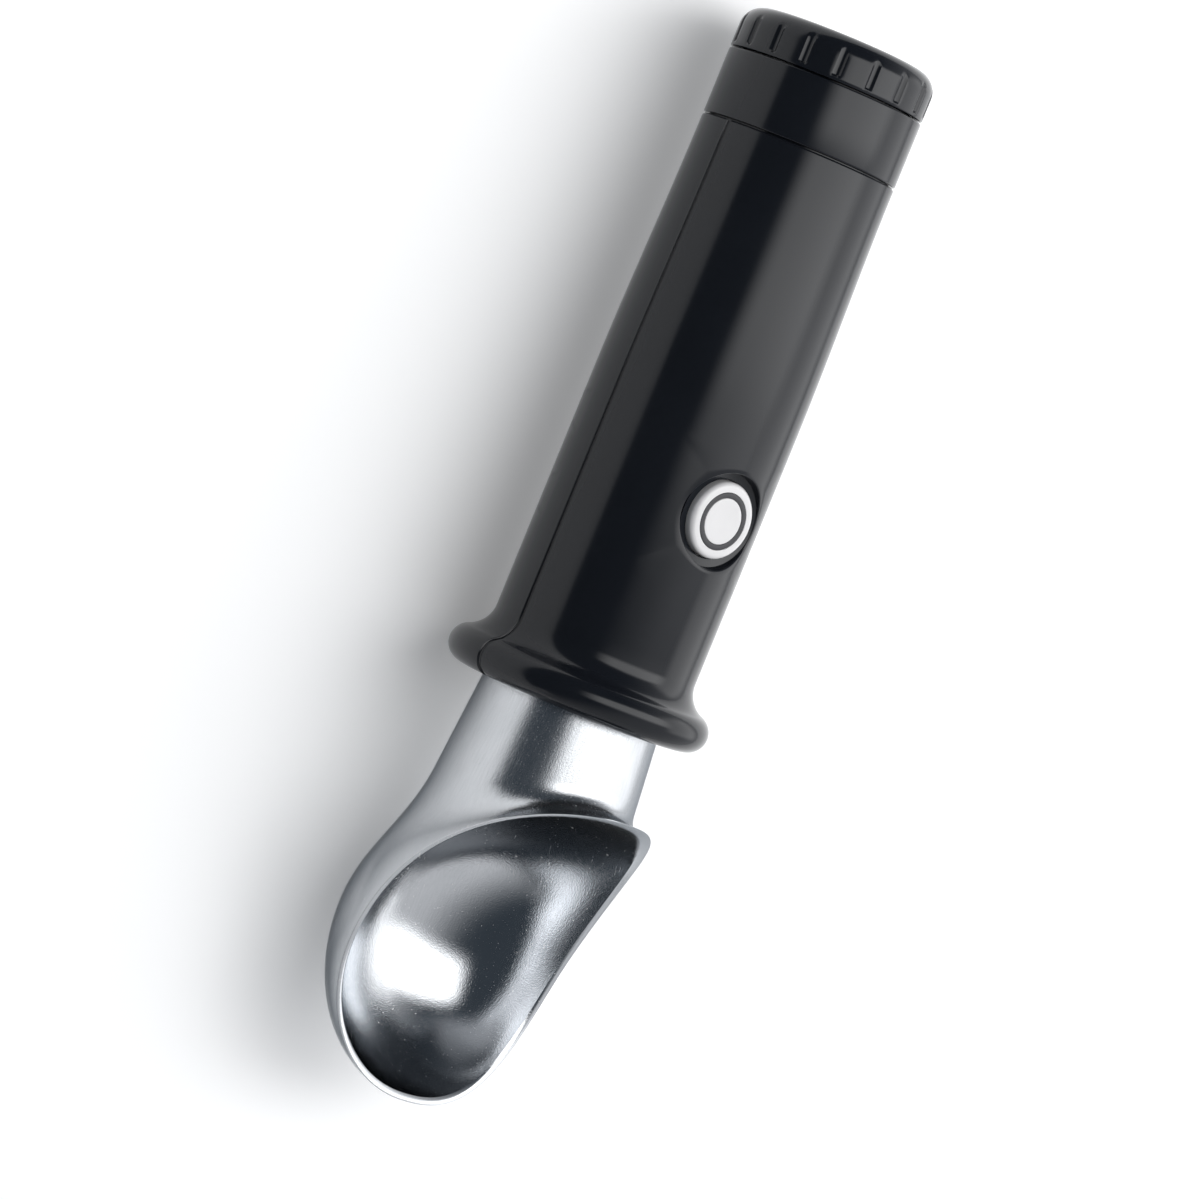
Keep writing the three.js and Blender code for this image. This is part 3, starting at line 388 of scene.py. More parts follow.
# %% Shared wear
STREAK_DETAIL = 2
SCRATCHES = (  # turn of the streaks, scale of the noise along and across them, heights of the cut
    ((0.3, 0.5, 0.7), (160, 3600), (0.71, 0.76)),
    ((-0.4, 0.2, -1.1), (220, 4200), (0.72, 0.77)),
)
LINES = ((0, 0, 0), (30, 2600), (0.3, 0.7))
PIT_SCALE = 300
PIT_EDGE = (0.085, 0.05)  # distance from a cell's middle, where a pit starts and where it is full
PIT_CHOICE = (0.62, 0.66)  # only cells whose random value passes this have a pit


def wear_group():
    """Masks of thin scratches, of small pits and of polishing lines along the axis."""
    group = bpy.data.node_groups.new("wear", "ShaderNodeTree")
    for out in ("Scratches", "Pits", "Lines"):
        socket(group, out, "OUTPUT")
    results = group.nodes.new("NodeGroupOutput").inputs
    place = node(group, "TexCoord")["Object"]

    def streaks(turn, scale, cut):
        """A mask of long streaks: noise on coordinates that are turned and scaled unevenly."""
        along, across = scale
        sizes = (1 / along, 1 / across, 1 / across)
        eased = node(group, "Mapping", place, None, turn, sizes, vector_type="TEXTURE")["Vector"]
        noise = node(group, "TexNoise", eased, None, 1, STREAK_DETAIL)["Fac"]
        return graded(group, noise, cut, smooth=True)

    cells = node(group, "TexVoronoi", place, None, PIT_SCALE)
    middle = graded(group, cells["Distance"], PIT_EDGE, smooth=True)
    few = graded(group, cells["Color"], PIT_CHOICE, smooth=True)
    scratches = combined(group, "MAXIMUM", *[streaks(*scratch) for scratch in SCRATCHES])
    group.links.new(scratches, results["Scratches"])
    group.links.new(combined(group, "MULTIPLY", middle, few), results["Pits"])
    group.links.new(streaks(*LINES), results["Lines"])
    return group


WEAR = wear_group()
print("wear:", [s.name for s in WEAR.interface.items_tree])

# %% [markdown]
# Each finish is built by a small class that holds the material's tree and its shader. It keeps the
# recipes below short: a mask becomes a range of roughness or a mix of colours, and drives an input
# of the shader.

# %% Writing a finish
class Finish:
    """A material under construction."""

    def __init__(self, name, **values):
        self.material = bpy.data.materials.new(name)
        self.material.use_nodes = True
        self.tree = self.material.node_tree
        self.shader = self.tree.nodes["Principled BSDF"]
        set_inputs(self.shader, **values)

    def group(self, shared, **values):
        """The outputs of a shared group."""
        made = self.tree.nodes.new("ShaderNodeGroup")
        made.node_tree = shared
        set_inputs(made, **values)
        return made.outputs

    def drive(self, target, output):
        """Joins an output to one of the shader's inputs."""
        self.tree.links.new(output, self.shader.inputs[target])

    def bump(self, height, strength, distance):
        made = self.tree.nodes.new("ShaderNodeBump")
        set_inputs(made, Strength=strength, Distance=distance)
        self.tree.links.new(height, made.inputs["Height"])
        self.drive("Normal", made.outputs["Normal"])


# %% [markdown]
# The metal is brushed on the neck and polished by hand in the bowl: bright and a little uneven.
# Where it is scratched or pitted it is rougher and catches the lamp, so those places look pale on
# dark reflections. Its edges would turn white against the floor, so its tint darkens at a slant.

# %% Finish of the metal
BRUSHED = (flange_face + 30 * MM, flange_face + 16 * MM)  # from where polished to where fully brushed
BRUSHED_ROUGHNESS = 0.13  # added there
CAST_TINT = (0.36, 0.38, 0.40, 1)
CAST_TONES = (0.52, 0.54, 0.56), (0.62, 0.63, 0.65)
CAST_ROUGHNESS = (0.06, 0.15)
LINE_TONE = (0.42, 0.44, 0.46)
LINE_SHARE = 0.16  # how much of that tone the darkest line has
LINE_ROUGHNESS = (-0.02, 0.03)
LINE_RELIEF = 0.09  # depth of a line, as a share of the grain's
MARK_TONE = (0.80, 0.80, 0.80)
MARK_ROUGHNESS = 0.55


def polished_cast():
    made = Finish("polished_cast", Metallic=1.0, Specular_Tint=CAST_TINT)
    tree = made.tree
    grain = made.group(GRAIN, Fine_Scale=3800, Slow_Scale=130)
    wear = made.group(WEAR)
    lines = wear["Lines"]
    marks = combined(tree, "MAXIMUM", wear["Scratches"], wear["Pits"])
    cast = mixed(tree, grain["Slow"], *CAST_TONES)
    tone = mixed(tree, graded(tree, lines, to=(0, LINE_SHARE)), cast, LINE_TONE)
    made.drive("Base Color", mixed(tree, marks, tone, MARK_TONE))
    place = node(tree, "SeparateXYZ", node(tree, "TexCoord")["Object"])
    rough = graded(tree, grain["Fine"], to=CAST_ROUGHNESS)
    rough = combined(tree, "ADD", rough, graded(tree, lines, to=LINE_ROUGHNESS))
    rough = combined(tree, "ADD", rough, graded(tree, place["X"], BRUSHED, (0, BRUSHED_ROUGHNESS)))
    rough = combined(tree, "MAXIMUM", rough, graded(tree, marks, to=(0, MARK_ROUGHNESS)))
    made.drive("Roughness", rough)
    relief = combined(tree, "ADD", grain["Fine"], graded(tree, lines, to=(0, LINE_RELIEF)))
    made.bump(relief, strength=0.45, distance=0.00005)
    return made.material


# %% [markdown]
# The grip is a satin black with a trace of blue, smoother in some places than in others. The other
# pieces get plain finishes of one recipe, with the same grain.

# %% The other finishes
BLACK_TONES = (0.0075, 0.0088, 0.0120), (0.0110, 0.0128, 0.0170)
BLACK_ROUGHNESS = (0.10, 0.18)
TONE_SPREAD = (0.92, 1.06)
ROUGHNESS_SPREAD = (0.8, 1.2)


def satin_black():
    made = Finish("satin_black", Specular_IOR_Level=0.33)
    grain = made.group(GRAIN, Fine_Scale=4200, Slow_Scale=70)
    made.drive("Base Color", mixed(made.tree, grain["Slow"], *BLACK_TONES))
    made.drive("Roughness", graded(made.tree, grain["Slow"], to=BLACK_ROUGHNESS))
    made.bump(grain["Fine"], strength=0.06, distance=0.00003)
    return made.material


def plain_finish(name, colour, rough, metal=0.0):
    """A colour and a roughness that vary a little, with fine grain."""
    made = Finish(name, Metallic=metal)
    grain = made.group(GRAIN, Fine_Scale=2400, Slow_Scale=160)
    dark, pale = [[c * share for c in colour] for share in TONE_SPREAD]
    made.drive("Base Color", mixed(made.tree, grain["Slow"], dark, pale))
    roughness = [rough * share for share in ROUGHNESS_SPREAD]
    made.drive("Roughness", graded(made.tree, grain["Fine"], to=roughness))
    made.bump(grain["Fine"], strength=0.08, distance=0.00004)
    return made.material


FINISHES = {
    "cast_aluminium": polished_cast(),
    "grip_black": satin_black(),
    "inner_black": plain_finish("matt_black", (0.014, 0.014, 0.016), 0.5),
    "button_white": plain_finish("gloss_white", (0.80, 0.79, 0.79), 0.24),
    "inlay_grey": plain_finish("dark_grey", (0.022, 0.022, 0.027), 0.35),
    "collar_tan": plain_finish("moulding_tan", (0.48, 0.39, 0.24), 0.6),
    "silicone_red": plain_finish("rubber_red", (0.26, 0.045, 0.03), 0.55),
    "steel": plain_finish("plain_steel", (0.48, 0.50, 0.53), 0.3, metal=1.0),
    "nickel": plain_finish("nickel_plate", (0.63, 0.62, 0.57), 0.2, metal=1.0),
    "board_green": plain_finish("solder_mask", (0.013, 0.10, 0.04), 0.35),
    "cell_blue": plain_finish("cell_wrap", (0.02, 0.07, 0.155), 0.3),
    "wire_red": plain_finish("insulation_red", (0.37, 0.015, 0.015), 0.5),
    "wire_black": plain_finish("insulation_black", (0.014, 0.014, 0.015), 0.5),
    "ceramic_white": plain_finish("ceramic", (0.74, 0.73, 0.69), 0.55),
}
print("finishes:", [made.name for made in FINISHES.values()])

# %% [markdown]
# The head is one casting: a neck that sweeps out into the back of a bowl, a lip that rises steeply
# where the bowl meets the neck, and a rim that drops along the sides and runs level to the tip. A
# boolean of a lathe shape and a dish would leave ragged shading on polished metal. Here the skin is
# a single tube of loops instead, from the neck out to the rim, over the rim and down into the bowl.

# %% Head: driving dimensions
NECK_RADIUS = 17.0
NECK_SWELL = 1.7  # wider by this where the sweep starts
LIP_X = 14.8
LIP_HEIGHT = 26.0
LIP_BLEND = 4.2  # size of the hollow between neck and lip
BLEND_FADE = (18.0, 42.0)  # along the axis, where the hollow runs out
BOWL_LENGTH = 63.6
BOWL_RADIUS = 25.6
BOWL_HALF_WIDTH = 25.8
BOWL_DEPTH = 22.8
BACK_X = 48.6  # where the back is widest
SWEEP_X = 18.8
RIM_LAND = 1.2
RIM_LIFT = 2.5
RIM_POWER = 2.3  # of the rim seen from above, where 2 is an ellipse
NOSE_POWER = 0.92  # of the end of the back, where 1 is an ellipse
RIM_DROP = (9.2, 4.0)  # past the lip and above the axis: draws the rim down steeply
RIM_DIP = (35.2, -11.0)  # draws it below the axis before the tip
SWEEP_START = NECK_RADIUS + NECK_SWELL
SWEEP_OUT = (12, 0.9)  # along and out from the start: draws the sweep out slowly
SWEEP_IN = 11  # before the widest place: brings it in level
LEAST_BLEND = 0.05
LEAST_SPREAD = 1e-6
CURVE_POINTS = 4000
half_length = BOWL_LENGTH / 2
bowl_x = LIP_X + half_length
tip_x = LIP_X + BOWL_LENGTH


def bezier(points, t):
    """A cubic curve, for an array of shares t."""
    s = 1 - t
    weights = (s**3, 3 * s**2 * t, 3 * s * t**2, t**3)
    return tuple(sum(w * p[k] for w, p in zip(weights, points)) for k in (0, 1))


RIM_SIDE = (
    (LIP_X, LIP_HEIGHT),
    (LIP_X + RIM_DROP[0], RIM_DROP[1]),
    (LIP_X + RIM_DIP[0], RIM_DIP[1]),
    (tip_x, 0.0),
)
SWEEP = (
    (SWEEP_X, SWEEP_START),
    (SWEEP_X + SWEEP_OUT[0], SWEEP_START + SWEEP_OUT[1]),
    (BACK_X - SWEEP_IN, BOWL_RADIUS),
    (BACK_X, BOWL_RADIUS),
)
shares = np.linspace(0, 1, CURVE_POINTS)
RIM_LINE = bezier(RIM_SIDE, shares)
SWEEP_LINE = bezier(SWEEP, shares)
print("rim: lowest", RIM_LINE[1].min().round(2), "sweep: from", SWEEP_START, "to", BOWL_RADIUS)


def rim_height(x):
    """Height of the rim above the axis."""
    return np.interp(x, *RIM_LINE)


def back_radius(x):
    """Radius of the neck and the back of the bowl, round the axis."""
    neck = NECK_RADIUS + NECK_SWELL * np.clip(x, 0, SWEEP_X) / SWEEP_X
    nose = np.clip((x - BACK_X) / (tip_x - BACK_X), 0, 1)
    end = BOWL_RADIUS * (1 - nose**2) ** (NOSE_POWER / 2)
    return np.where(x < SWEEP_X, neck, np.where(x < BACK_X, np.interp(x, *SWEEP_LINE), end))


def spread(x, y):
    """How far out a place lies, seen from above: 1 on the rim's outline."""
    long = np.abs((x - bowl_x) / half_length) ** RIM_POWER
    wide = np.abs(y / BOWL_HALF_WIDTH) ** RIM_POWER
    return (long + wide) ** (1 / RIM_POWER)


def outside(x, y, z):
    """Below zero in the uncut head: the lathe shape and the bowl's outer wall, with a soft join."""
    lathe = np.hypot(y, z) - back_radius(x)
    out = np.maximum(spread(x, y), LEAST_SPREAD)
    height = rim_height(bowl_x + (x - bowl_x) / out) + RIM_LIFT + BOWL_DEPTH
    drop = np.maximum(1 - (z + BOWL_DEPTH) / height, 0)
    wall = (np.hypot(out, drop) - 1) * half_length
    fade = np.clip((x - BLEND_FADE[0]) / (BLEND_FADE[1] - BLEND_FADE[0]), 0, 1)
    soft = LIP_BLEND * (1 - fade) ** 2 + LEAST_BLEND
    share = np.clip(0.5 + 0.5 * (wall - lathe) / soft, 0, 1)
    return wall * (1 - share) + lathe * share - soft * share * (1 - share)


# %% [markdown]
# The loops lie on bent sheets, seen from the side: the first sheet is the flat end of the neck and
# the last one is the rim itself. Each sheet has a top point near the neck's upper edge, a bottom
# point near the keel and one inside, and the loop is found by walking out from that inner point to
# the skin.

# %% Head: outer loops
AROUND = 192
OUTER_LOOPS = 84
TOP_BEND = 12.5  # how far the sheets' tops run along the neck
TOP_RISE = 19.0  # how far up they turn towards the lip
TOP_GUIDE = ((0.0, NECK_RADIUS), (TOP_BEND, NECK_RADIUS), (LIP_X, TOP_RISE), (LIP_X, LIP_HEIGHT))
SIDE_REACH = 24.0
SEARCH_STEPS = 36
SEARCH_REACH = 1.6  # past every loop, from the inner point
LOOP_CROWDING = 0.9  # below 1, loops crowd together towards the rim
KEEL_POINTS = 2000

angles = np.arange(AROUND) * 2 * math.pi / AROUND
stage_share = np.linspace(0, 1, OUTER_LOOPS + 1)[:, None] ** LOOP_CROWDING
keel = np.linspace(0, tip_x, KEEL_POINTS)
keel_length = np.concatenate(([0], np.cumsum(np.hypot(np.diff(keel), np.diff(back_radius(keel))))))
keel_x = np.interp(stage_share, keel_length / keel_length[-1], keel)


def sheet_place(share, low_x, w):
    """Side view (x, z) of a sheet at w: 1 at its top, -1 at its bottom."""

    def guide(s, bottom_x, w):
        top = bezier(TOP_GUIDE, s)
        middle = (s * rim_middle[0], s * rim_middle[1])
        bottom = (bottom_x, -back_radius(bottom_x))
        return tuple(
            m + w * (t - b) / 2 + w**2 * ((t + b) / 2 - m) for t, m, b in zip(top, middle, bottom)
        )

    rim_middle = bezier(RIM_SIDE, 0.5)
    plain = guide(share, low_x, w)
    last = guide(np.ones_like(share), np.full_like(low_x, tip_x), w)
    rim = bezier(RIM_SIDE, (1 - w) / 2)
    weight = share**3
    return tuple(p + weight * (r - q) for p, q, r in zip(plain, last, rim))


near = np.zeros((OUTER_LOOPS + 1, AROUND))
far = np.full_like(near, SEARCH_REACH)
for step in range(SEARCH_STEPS):
    reach = (near + far) / 2
    x, z = sheet_place(stage_share, keel_x, reach * np.cos(angles))
    y = reach * SIDE_REACH * np.sin(angles)
    inside = outside(x, y, z) < 0
    near = np.where(inside, reach, near)
    far = np.where(inside, far, reach)
outer_loops = np.stack((x, y, z), axis=-1)
print("outer loops:", outer_loops.shape, "tip", outer_loops[-1].max(axis=0).round(2))

# %% [markdown]
# The rim is a narrow land with rounded edges. Each of its loops is the rim's outline, seen from
# above, drawn in by a little more, at the height of the rim there. The bowl's inside follows in the
# same way: ribs that stand up at the rim and run level into the floor.

# %% Head: rim and bowl loops
EDGE_ROUND = 0.35
BOWL_LOOPS = 40



def signed_power(value, power):
    """A power that keeps the sign."""
    return np.sign(value) * np.abs(value) ** power


rim_x, rim_y, _ = outer_loops[-1].T
wide = signed_power(rim_y / BOWL_HALF_WIDTH, RIM_POWER / 2)
long = signed_power((rim_x - bowl_x) / half_length, RIM_POWER / 2)
rim_turn = np.arctan2(wide, long)


def rim_plan(inset):
    """The rim's outline seen from above, drawn in."""
    x = bowl_x + (half_length - inset) * signed_power(np.cos(rim_turn), 2 / RIM_POWER)
    return x, (BOWL_HALF_WIDTH - inset) * signed_power(np.sin(rim_turn), 2 / RIM_POWER)


def land_loop(inset, drop):
    """A loop on the rim, drawn in and let down."""
    x, y = rim_plan(inset)
    return np.stack((x, y, rim_height(x) - drop), axis=-1)


soft_corner = (1 - math.sqrt(0.5)) * EDGE_ROUND
land_loops = [
    land_loop(soft_corner, soft_corner),
    land_loop(EDGE_ROUND, 0),
    land_loop(RIM_LAND - EDGE_ROUND, 0),
    land_loop(RIM_LAND - soft_corner, soft_corner),
]
inner_x, inner_y = rim_plan(RIM_LAND)
inner_height = rim_height(inner_x)
rib_height = inner_height + RIM_LIFT + BOWL_DEPTH
rib_top = np.arccos(1 - (inner_height - EDGE_ROUND + BOWL_DEPTH) / rib_height)
bowl_loops = []
for k in range(BOWL_LOOPS + 1):
    turn = rib_top * (1 - k / BOWL_LOOPS)
    x = bowl_x + (inner_x - bowl_x) * np.sin(turn)
    z = rib_height * (1 - np.cos(turn)) - BOWL_DEPTH
    bowl_loops.append(np.stack((x, inner_y * np.sin(turn), z), axis=-1))

# %% [markdown]
# Behind the flange the head carries on as a tenon with two grooves, one for a seal and one for the
# clip that holds it, and with a bore for the heater. They are circles, so they join the same tube
# of loops.

# %% Head: tenon loops and the casting
TENON_END = -30.0
TENON_RADIUS = 13.5
TENON_ROUND = 0.3
SHOULDER_X = -3.4
NECK_X = -0.2  # where the tenon's loops meet the neck's
HEATER_BORE = 6.2
HEATER_FLOOR = 13.3
CLIP_GROOVE = (-26.0, -24.7)
CLIP_FLOOR = 12.3
SEAL_GROOVE = (-2.65, -0.75)
SEAL_FLOOR = 15.4


tenon_corners = stepped(
    (HEATER_FLOOR, TENON_END, *CLIP_GROOVE, SHOULDER_X, *SEAL_GROOVE, NECK_X),
    (0.0, HEATER_BORE, TENON_RADIUS, CLIP_FLOOR, TENON_RADIUS, NECK_RADIUS, SEAL_FLOOR, NECK_RADIUS),
)
tenon = rounded(tenon_corners, TENON_ROUND, steps=2)
tenon_loops = [
    np.stack((np.full(AROUND, x), r * np.sin(angles), r * np.cos(angles)), axis=-1) for x, r in tenon
]
head_loops = [*tenon_loops, *outer_loops[:-1], *land_loops, *bowl_loops]
head = sheet(AROUND, len(head_loops) - 1, lambda u, v: head_loops[v][u % AROUND])
piece(head, "scoop_head_cast", "scoop", "cast_aluminium", ["scoop_head"])

# %% [markdown]
# The grip is two moulded half shells, parted along the axis. Each is one closed section, the
# outside down one side and the stepped bore back along the other, swept half way round. A spin
# would do for the plain stretch, but the groove along the seam and the hole for the button need
# columns of their own, so the section is a sheet as well.

# %% Grip: section
FLANGE_RADIUS = 25.3
FLANGE_THICKNESS = 7.2
FLARE = 5.5
GRIP_RADIUS = 19.5
GRIP_REAR_RADIUS = 18.7
TAPER_X = -60.0
SHELL_END = axis_box("handle_upper_shell")[0].x
SLEEVE_FRONT = SHELL_END + 6.0  # the rear ring fits over what lies behind it
SLEEVE_SEAT = 17.3
HEAD_BORE = 17.3
BAY_RADIUS = 17.1
BATTERY_BORE = 16.32
RIB_GROOVE = 18.3
BULKHEAD_GROOVE = 18.1
BULKHEAD = (-57.3, -55.1)  # grooves and steps of the bore, along the axis
RIB = (-16.3, -12.1)
BAY_FRONT = -30.0
FACE_RADII = (17.6, 18.6, 19.8, 21.0)
EDGE_EASE = 0.3
BAY = (-30.15, -55.05)  # stretch of the grip with the button and the screws
BAY_ROWS = 21
FLANGE_STEPS, FLARE_STEPS, STRAIGHT_STEPS, REAR_STEPS = 32, 20, 8, 16
bead = FLANGE_THICKNESS / 2
lean = math.asin((GRIP_RADIUS + FLARE - FLANGE_RADIUS + bead) / (bead + FLARE))
flare_x = -bead - (bead + FLARE) * math.cos(lean)
bay_rows = np.linspace(*BAY, BAY_ROWS)


def arc(centre, radius, start, end, steps):
    """Points of a round stretch, from one angle to another."""
    turns = np.linspace(start, end, steps + 1)
    return [(centre[0] + radius * math.cos(t), centre[1] + radius * math.sin(t)) for t in turns]


def taper(x):
    """The grip gets slimmer behind the button, slowly at first."""
    share = (x - TAPER_X) / (SLEEVE_FRONT - TAPER_X)
    return GRIP_RADIUS + (GRIP_REAR_RADIUS - GRIP_RADIUS) * share * share * (3 - 2 * share)


front_face = [(0.0, r) for r in FACE_RADII]
flange = arc((-bead, FLANGE_RADIUS - bead), bead, 0, math.pi - lean, FLANGE_STEPS)
flare = arc((flare_x, GRIP_RADIUS + FLARE), FLARE, -lean, -math.pi / 2, FLARE_STEPS)[1:]
straight = [(x, GRIP_RADIUS) for x in np.linspace(flare_x, BAY[0], STRAIGHT_STEPS)[1:-1]]
bay_outside = [(x, GRIP_RADIUS) for x in bay_rows]
rear = [(x, taper(x)) for x in np.linspace(TAPER_X, SLEEVE_FRONT + EDGE_EASE, REAR_STEPS)]
outside_rows = [*front_face, *flange, *flare, *straight, *bay_outside, *rear]
rear_bore = stepped(
    (SLEEVE_FRONT, SHELL_END, *BULKHEAD),
    (GRIP_REAR_RADIUS - EDGE_EASE, SLEEVE_SEAT, BATTERY_BORE, BULKHEAD_GROOVE, BAY_RADIUS),
)
bay_bore = [(x, BAY_RADIUS) for x in bay_rows[::-1]]
front_bore = stepped((BAY_FRONT, *RIB, -EDGE_EASE), (BAY_RADIUS, HEAD_BORE, RIB_GROOVE, HEAD_BORE))
section = [*outside_rows, *rear_bore, *bay_bore, *front_bore, outside_rows[0]]
print("section:", len(section), "points, shell from", round(SHELL_END, 2), "to 0")

# %% [markdown]
# A shallow groove runs along the seam, and its edges show as fine lines. The columns crowd together
# there and step inwards along the section's normal, which keeps the groove even over the flange.

# %% Grip: columns and the seam's groove
HALF_TURN_COLUMNS = 64
SEAM_HALF_GAP = 0.05
SEAM_GROOVE = 0.28
SEAM_HALF_WIDTH = 0.42  # of the groove's floor
SEAM_WALL = 0.12  # over which the groove's side rises
SEAM_WALL_COLUMNS = 5
SEAM_SPARE = (0.8, 1.1)  # columns beside the groove, from the seam
seam_wall = SEAM_HALF_WIDTH + SEAM_WALL * np.linspace(0, 1, SEAM_WALL_COLUMNS)
seam_steps = np.array([SEAM_HALF_GAP, SEAM_HALF_WIDTH / 2, *seam_wall, *SEAM_SPARE]) / GRIP_RADIUS
inner_columns = np.arange(2, HALF_TURN_COLUMNS - 1) * math.pi / HALF_TURN_COLUMNS
columns = np.concatenate((seam_steps, inner_columns, (math.pi - seam_steps)[::-1]))


def groove_depth(turn):
    """How far the outside steps in beside the seam."""
    out = min(turn, math.pi - turn) * GRIP_RADIUS - SEAM_HALF_WIDTH
    share = min(max(out / SEAM_WALL, 0), 1)
    return SEAM_GROOVE * (1 - share * share * (3 - 2 * share))


def inward(row):
    """Unit normal of the section at a row, into the wall. It is zero in the bore."""
    before = Vector(section[max(row - 1, 0)])
    after = Vector(section[row + 1])
    run = (after - before).normalized()
    return Vector((-run.y, run.x)) * (1 if row < len(outside_rows) else 0)


def shell_place(u, v):
    row = v % (len(section) - 1)
    turn = columns[u]
    x, r = Vector(section[row]) + inward(row) * groove_depth(turn)
    return (x, r * math.cos(turn), r * math.sin(turn))


# %% [markdown]
# A hole in a polished round surface shows every crooked edge, so it isn't cut by a boolean. A
# window of faces is opened in both skins instead, and rings are extruded from its border: first in
# the skin, from the window's border to a circle, then down the wall of the hole, and back out to
# the border in the bore.

# %% Grip: holes
SKIN_SPARE = 0.1  # how far a point of a skin may lie off its radius
WINDOW_SPARE = 0.01  # and past the window's border
OUTER_RINGS = (0.3, 0.6, 0.85, 1.0)  # from the window's border to the hole's edge
INNER_RINGS = (1.0, 0.5, 0.0)


def window_border(bm, window, radius):
    """Removes the faces of one skin inside a window of (x, x, turn, turn) and returns its border."""
    low, high, start, end = window

    def within(v):
        turn = math.atan2(v.co.y, v.co.z)
        on_skin = abs(math.hypot(v.co.y, v.co.z) - radius) < SKIN_SPARE
        along_ok = low - WINDOW_SPARE < v.co.x < high + WINDOW_SPARE
        return on_skin and along_ok and start - WINDOW_SPARE < turn < end + WINDOW_SPARE

    faces = [f for f in bm.faces if all(map(within, f.verts))]
    bmesh.ops.delete(bm, geom=faces, context="FACES")
    return [e for e in bm.edges if e.is_boundary and all(map(within, e.verts))]


def pierce(bm, at, window, path):
    """Joins the two skins round a window by rings. path holds (radius, height above the axis)."""
    home_x = bm.verts.layers.float.new("home_x")
    home_turn = bm.verts.layers.float.new("home_turn")
    edges = window_border(bm, window, GRIP_RADIUS)
    window_border(bm, window, BAY_RADIUS)
    for v in {v for e in edges for v in e.verts}:
        v[home_x] = v.co.x
        v[home_turn] = math.atan2(v.co.y, v.co.z)

    def ring(place):
        nonlocal edges
        edges, points = drawn_out(bm, edges)
        for v in points:
            v.co = place(v[home_x], v[home_turn])

    def circle(x, turn, radius):
        spoke = Vector((x - at[0], GRIP_RADIUS * math.sin(turn) - at[1])).normalized() * radius
        return Vector((at[0] + spoke.x, at[1] + spoke.y))

    def on_skin(share, radius, skin):
        def place(x, turn):
            flat = Vector((x, skin * math.sin(turn))).lerp(circle(x, turn, radius), share)
            return (flat.x, flat.y, math.sqrt(skin * skin - flat.y * flat.y))

        return place

    def at_height(radius, height):
        def place(x, turn):
            flat = circle(x, turn, radius)
            below_skin = math.sqrt(GRIP_RADIUS**2 - flat.y**2) + height
            return (flat.x, flat.y, below_skin if height < 0 else height)

        return place

    for share in OUTER_RINGS:
        ring(on_skin(share, path[0][0], GRIP_RADIUS))
    for radius, height in path[1:]:
        ring(at_height(radius, height))
    for share in INNER_RINGS:
        ring(on_skin(share, path[-1][0], BAY_RADIUS))


def half_shell(holes):
    """A half shell above the axis, with holes given as (place, window, path)."""
    bm = sheet(len(columns) - 1, len(section) - 1, shell_place)
    bmesh.ops.remove_doubles(bm, verts=bm.verts, dist=WELD)
    for at, window, path in holes:
        pierce(bm, at, window, path)
    bmesh.ops.remove_doubles(bm, verts=bm.verts, dist=WELD)
    bmesh.ops.holes_fill(bm, edges=[e for e in bm.edges if e.is_boundary], sides=0)
    return bm


# %% [markdown]
# The upper shell has a round recess with a flat floor, and in it the hole that guides the button. A
# negative height counts down from the outside of the grip, so the recess keeps an even rounded
# edge.

# %% Grip: upper shell
BUTTON_X = -41.6
RECESS_RADIUS = 9.0
RECESS_Z = 17.0
GUIDE_RADIUS = 7.4
RECESS_UNDER = 14.6
WELL_FOOT = 13.3
GUIDE_WALL = 0.9
WELL_WALL = 1.6
EASE = 0.5  # rounding of the recess's edge
EASE_POINTS = ((0.22, 0.06), (0.06, 0.22))  # out from its wall and down from the skin
FLOOR_ROUND = (0.25, 0.07)  # rounding of the floor's edge: its ends, and its middle
GUIDE_ROUND = (0.2, 0.05)
BUTTON_ROWS = (19, 0)  # rows of the bay between which the window lies
BUTTON_TURN = 0.74  # half the window, round the axis
button_window = (*bay_rows[list(BUTTON_ROWS)], -BUTTON_TURN, BUTTON_TURN)
recess = [
    (RECESS_RADIUS + EASE, None),
    *[(RECESS_RADIUS + out, -down) for out, down in EASE_POINTS],
    (RECESS_RADIUS, -EASE),
    (RECESS_RADIUS, RECESS_Z + FLOOR_ROUND[0]),
    (RECESS_RADIUS - FLOOR_ROUND[1], RECESS_Z + FLOOR_ROUND[1]),
    (RECESS_RADIUS - FLOOR_ROUND[0], RECESS_Z),
    (GUIDE_RADIUS + GUIDE_ROUND[0], RECESS_Z),
    (GUIDE_RADIUS + GUIDE_ROUND[1], RECESS_Z - GUIDE_ROUND[1]),
    *stepped(
        (GUIDE_RADIUS, GUIDE_RADIUS + GUIDE_WALL, RECESS_RADIUS + WELL_WALL),
        (RECESS_Z - GUIDE_ROUND[0], RECESS_UNDER, WELL_FOOT),
    ),
]
upper = half_shell([((BUTTON_X, 0), button_window, recess)])
piece(upper, "handle_upper_shell_moulded", "scoop", "grip_black", ["handle_upper_shell"])

# %% [markdown]
# The lower shell is the same sweep, turned over. Four screws come in from below through sunk holes,
# and each hole ends in a boss that reaches up to the seam.

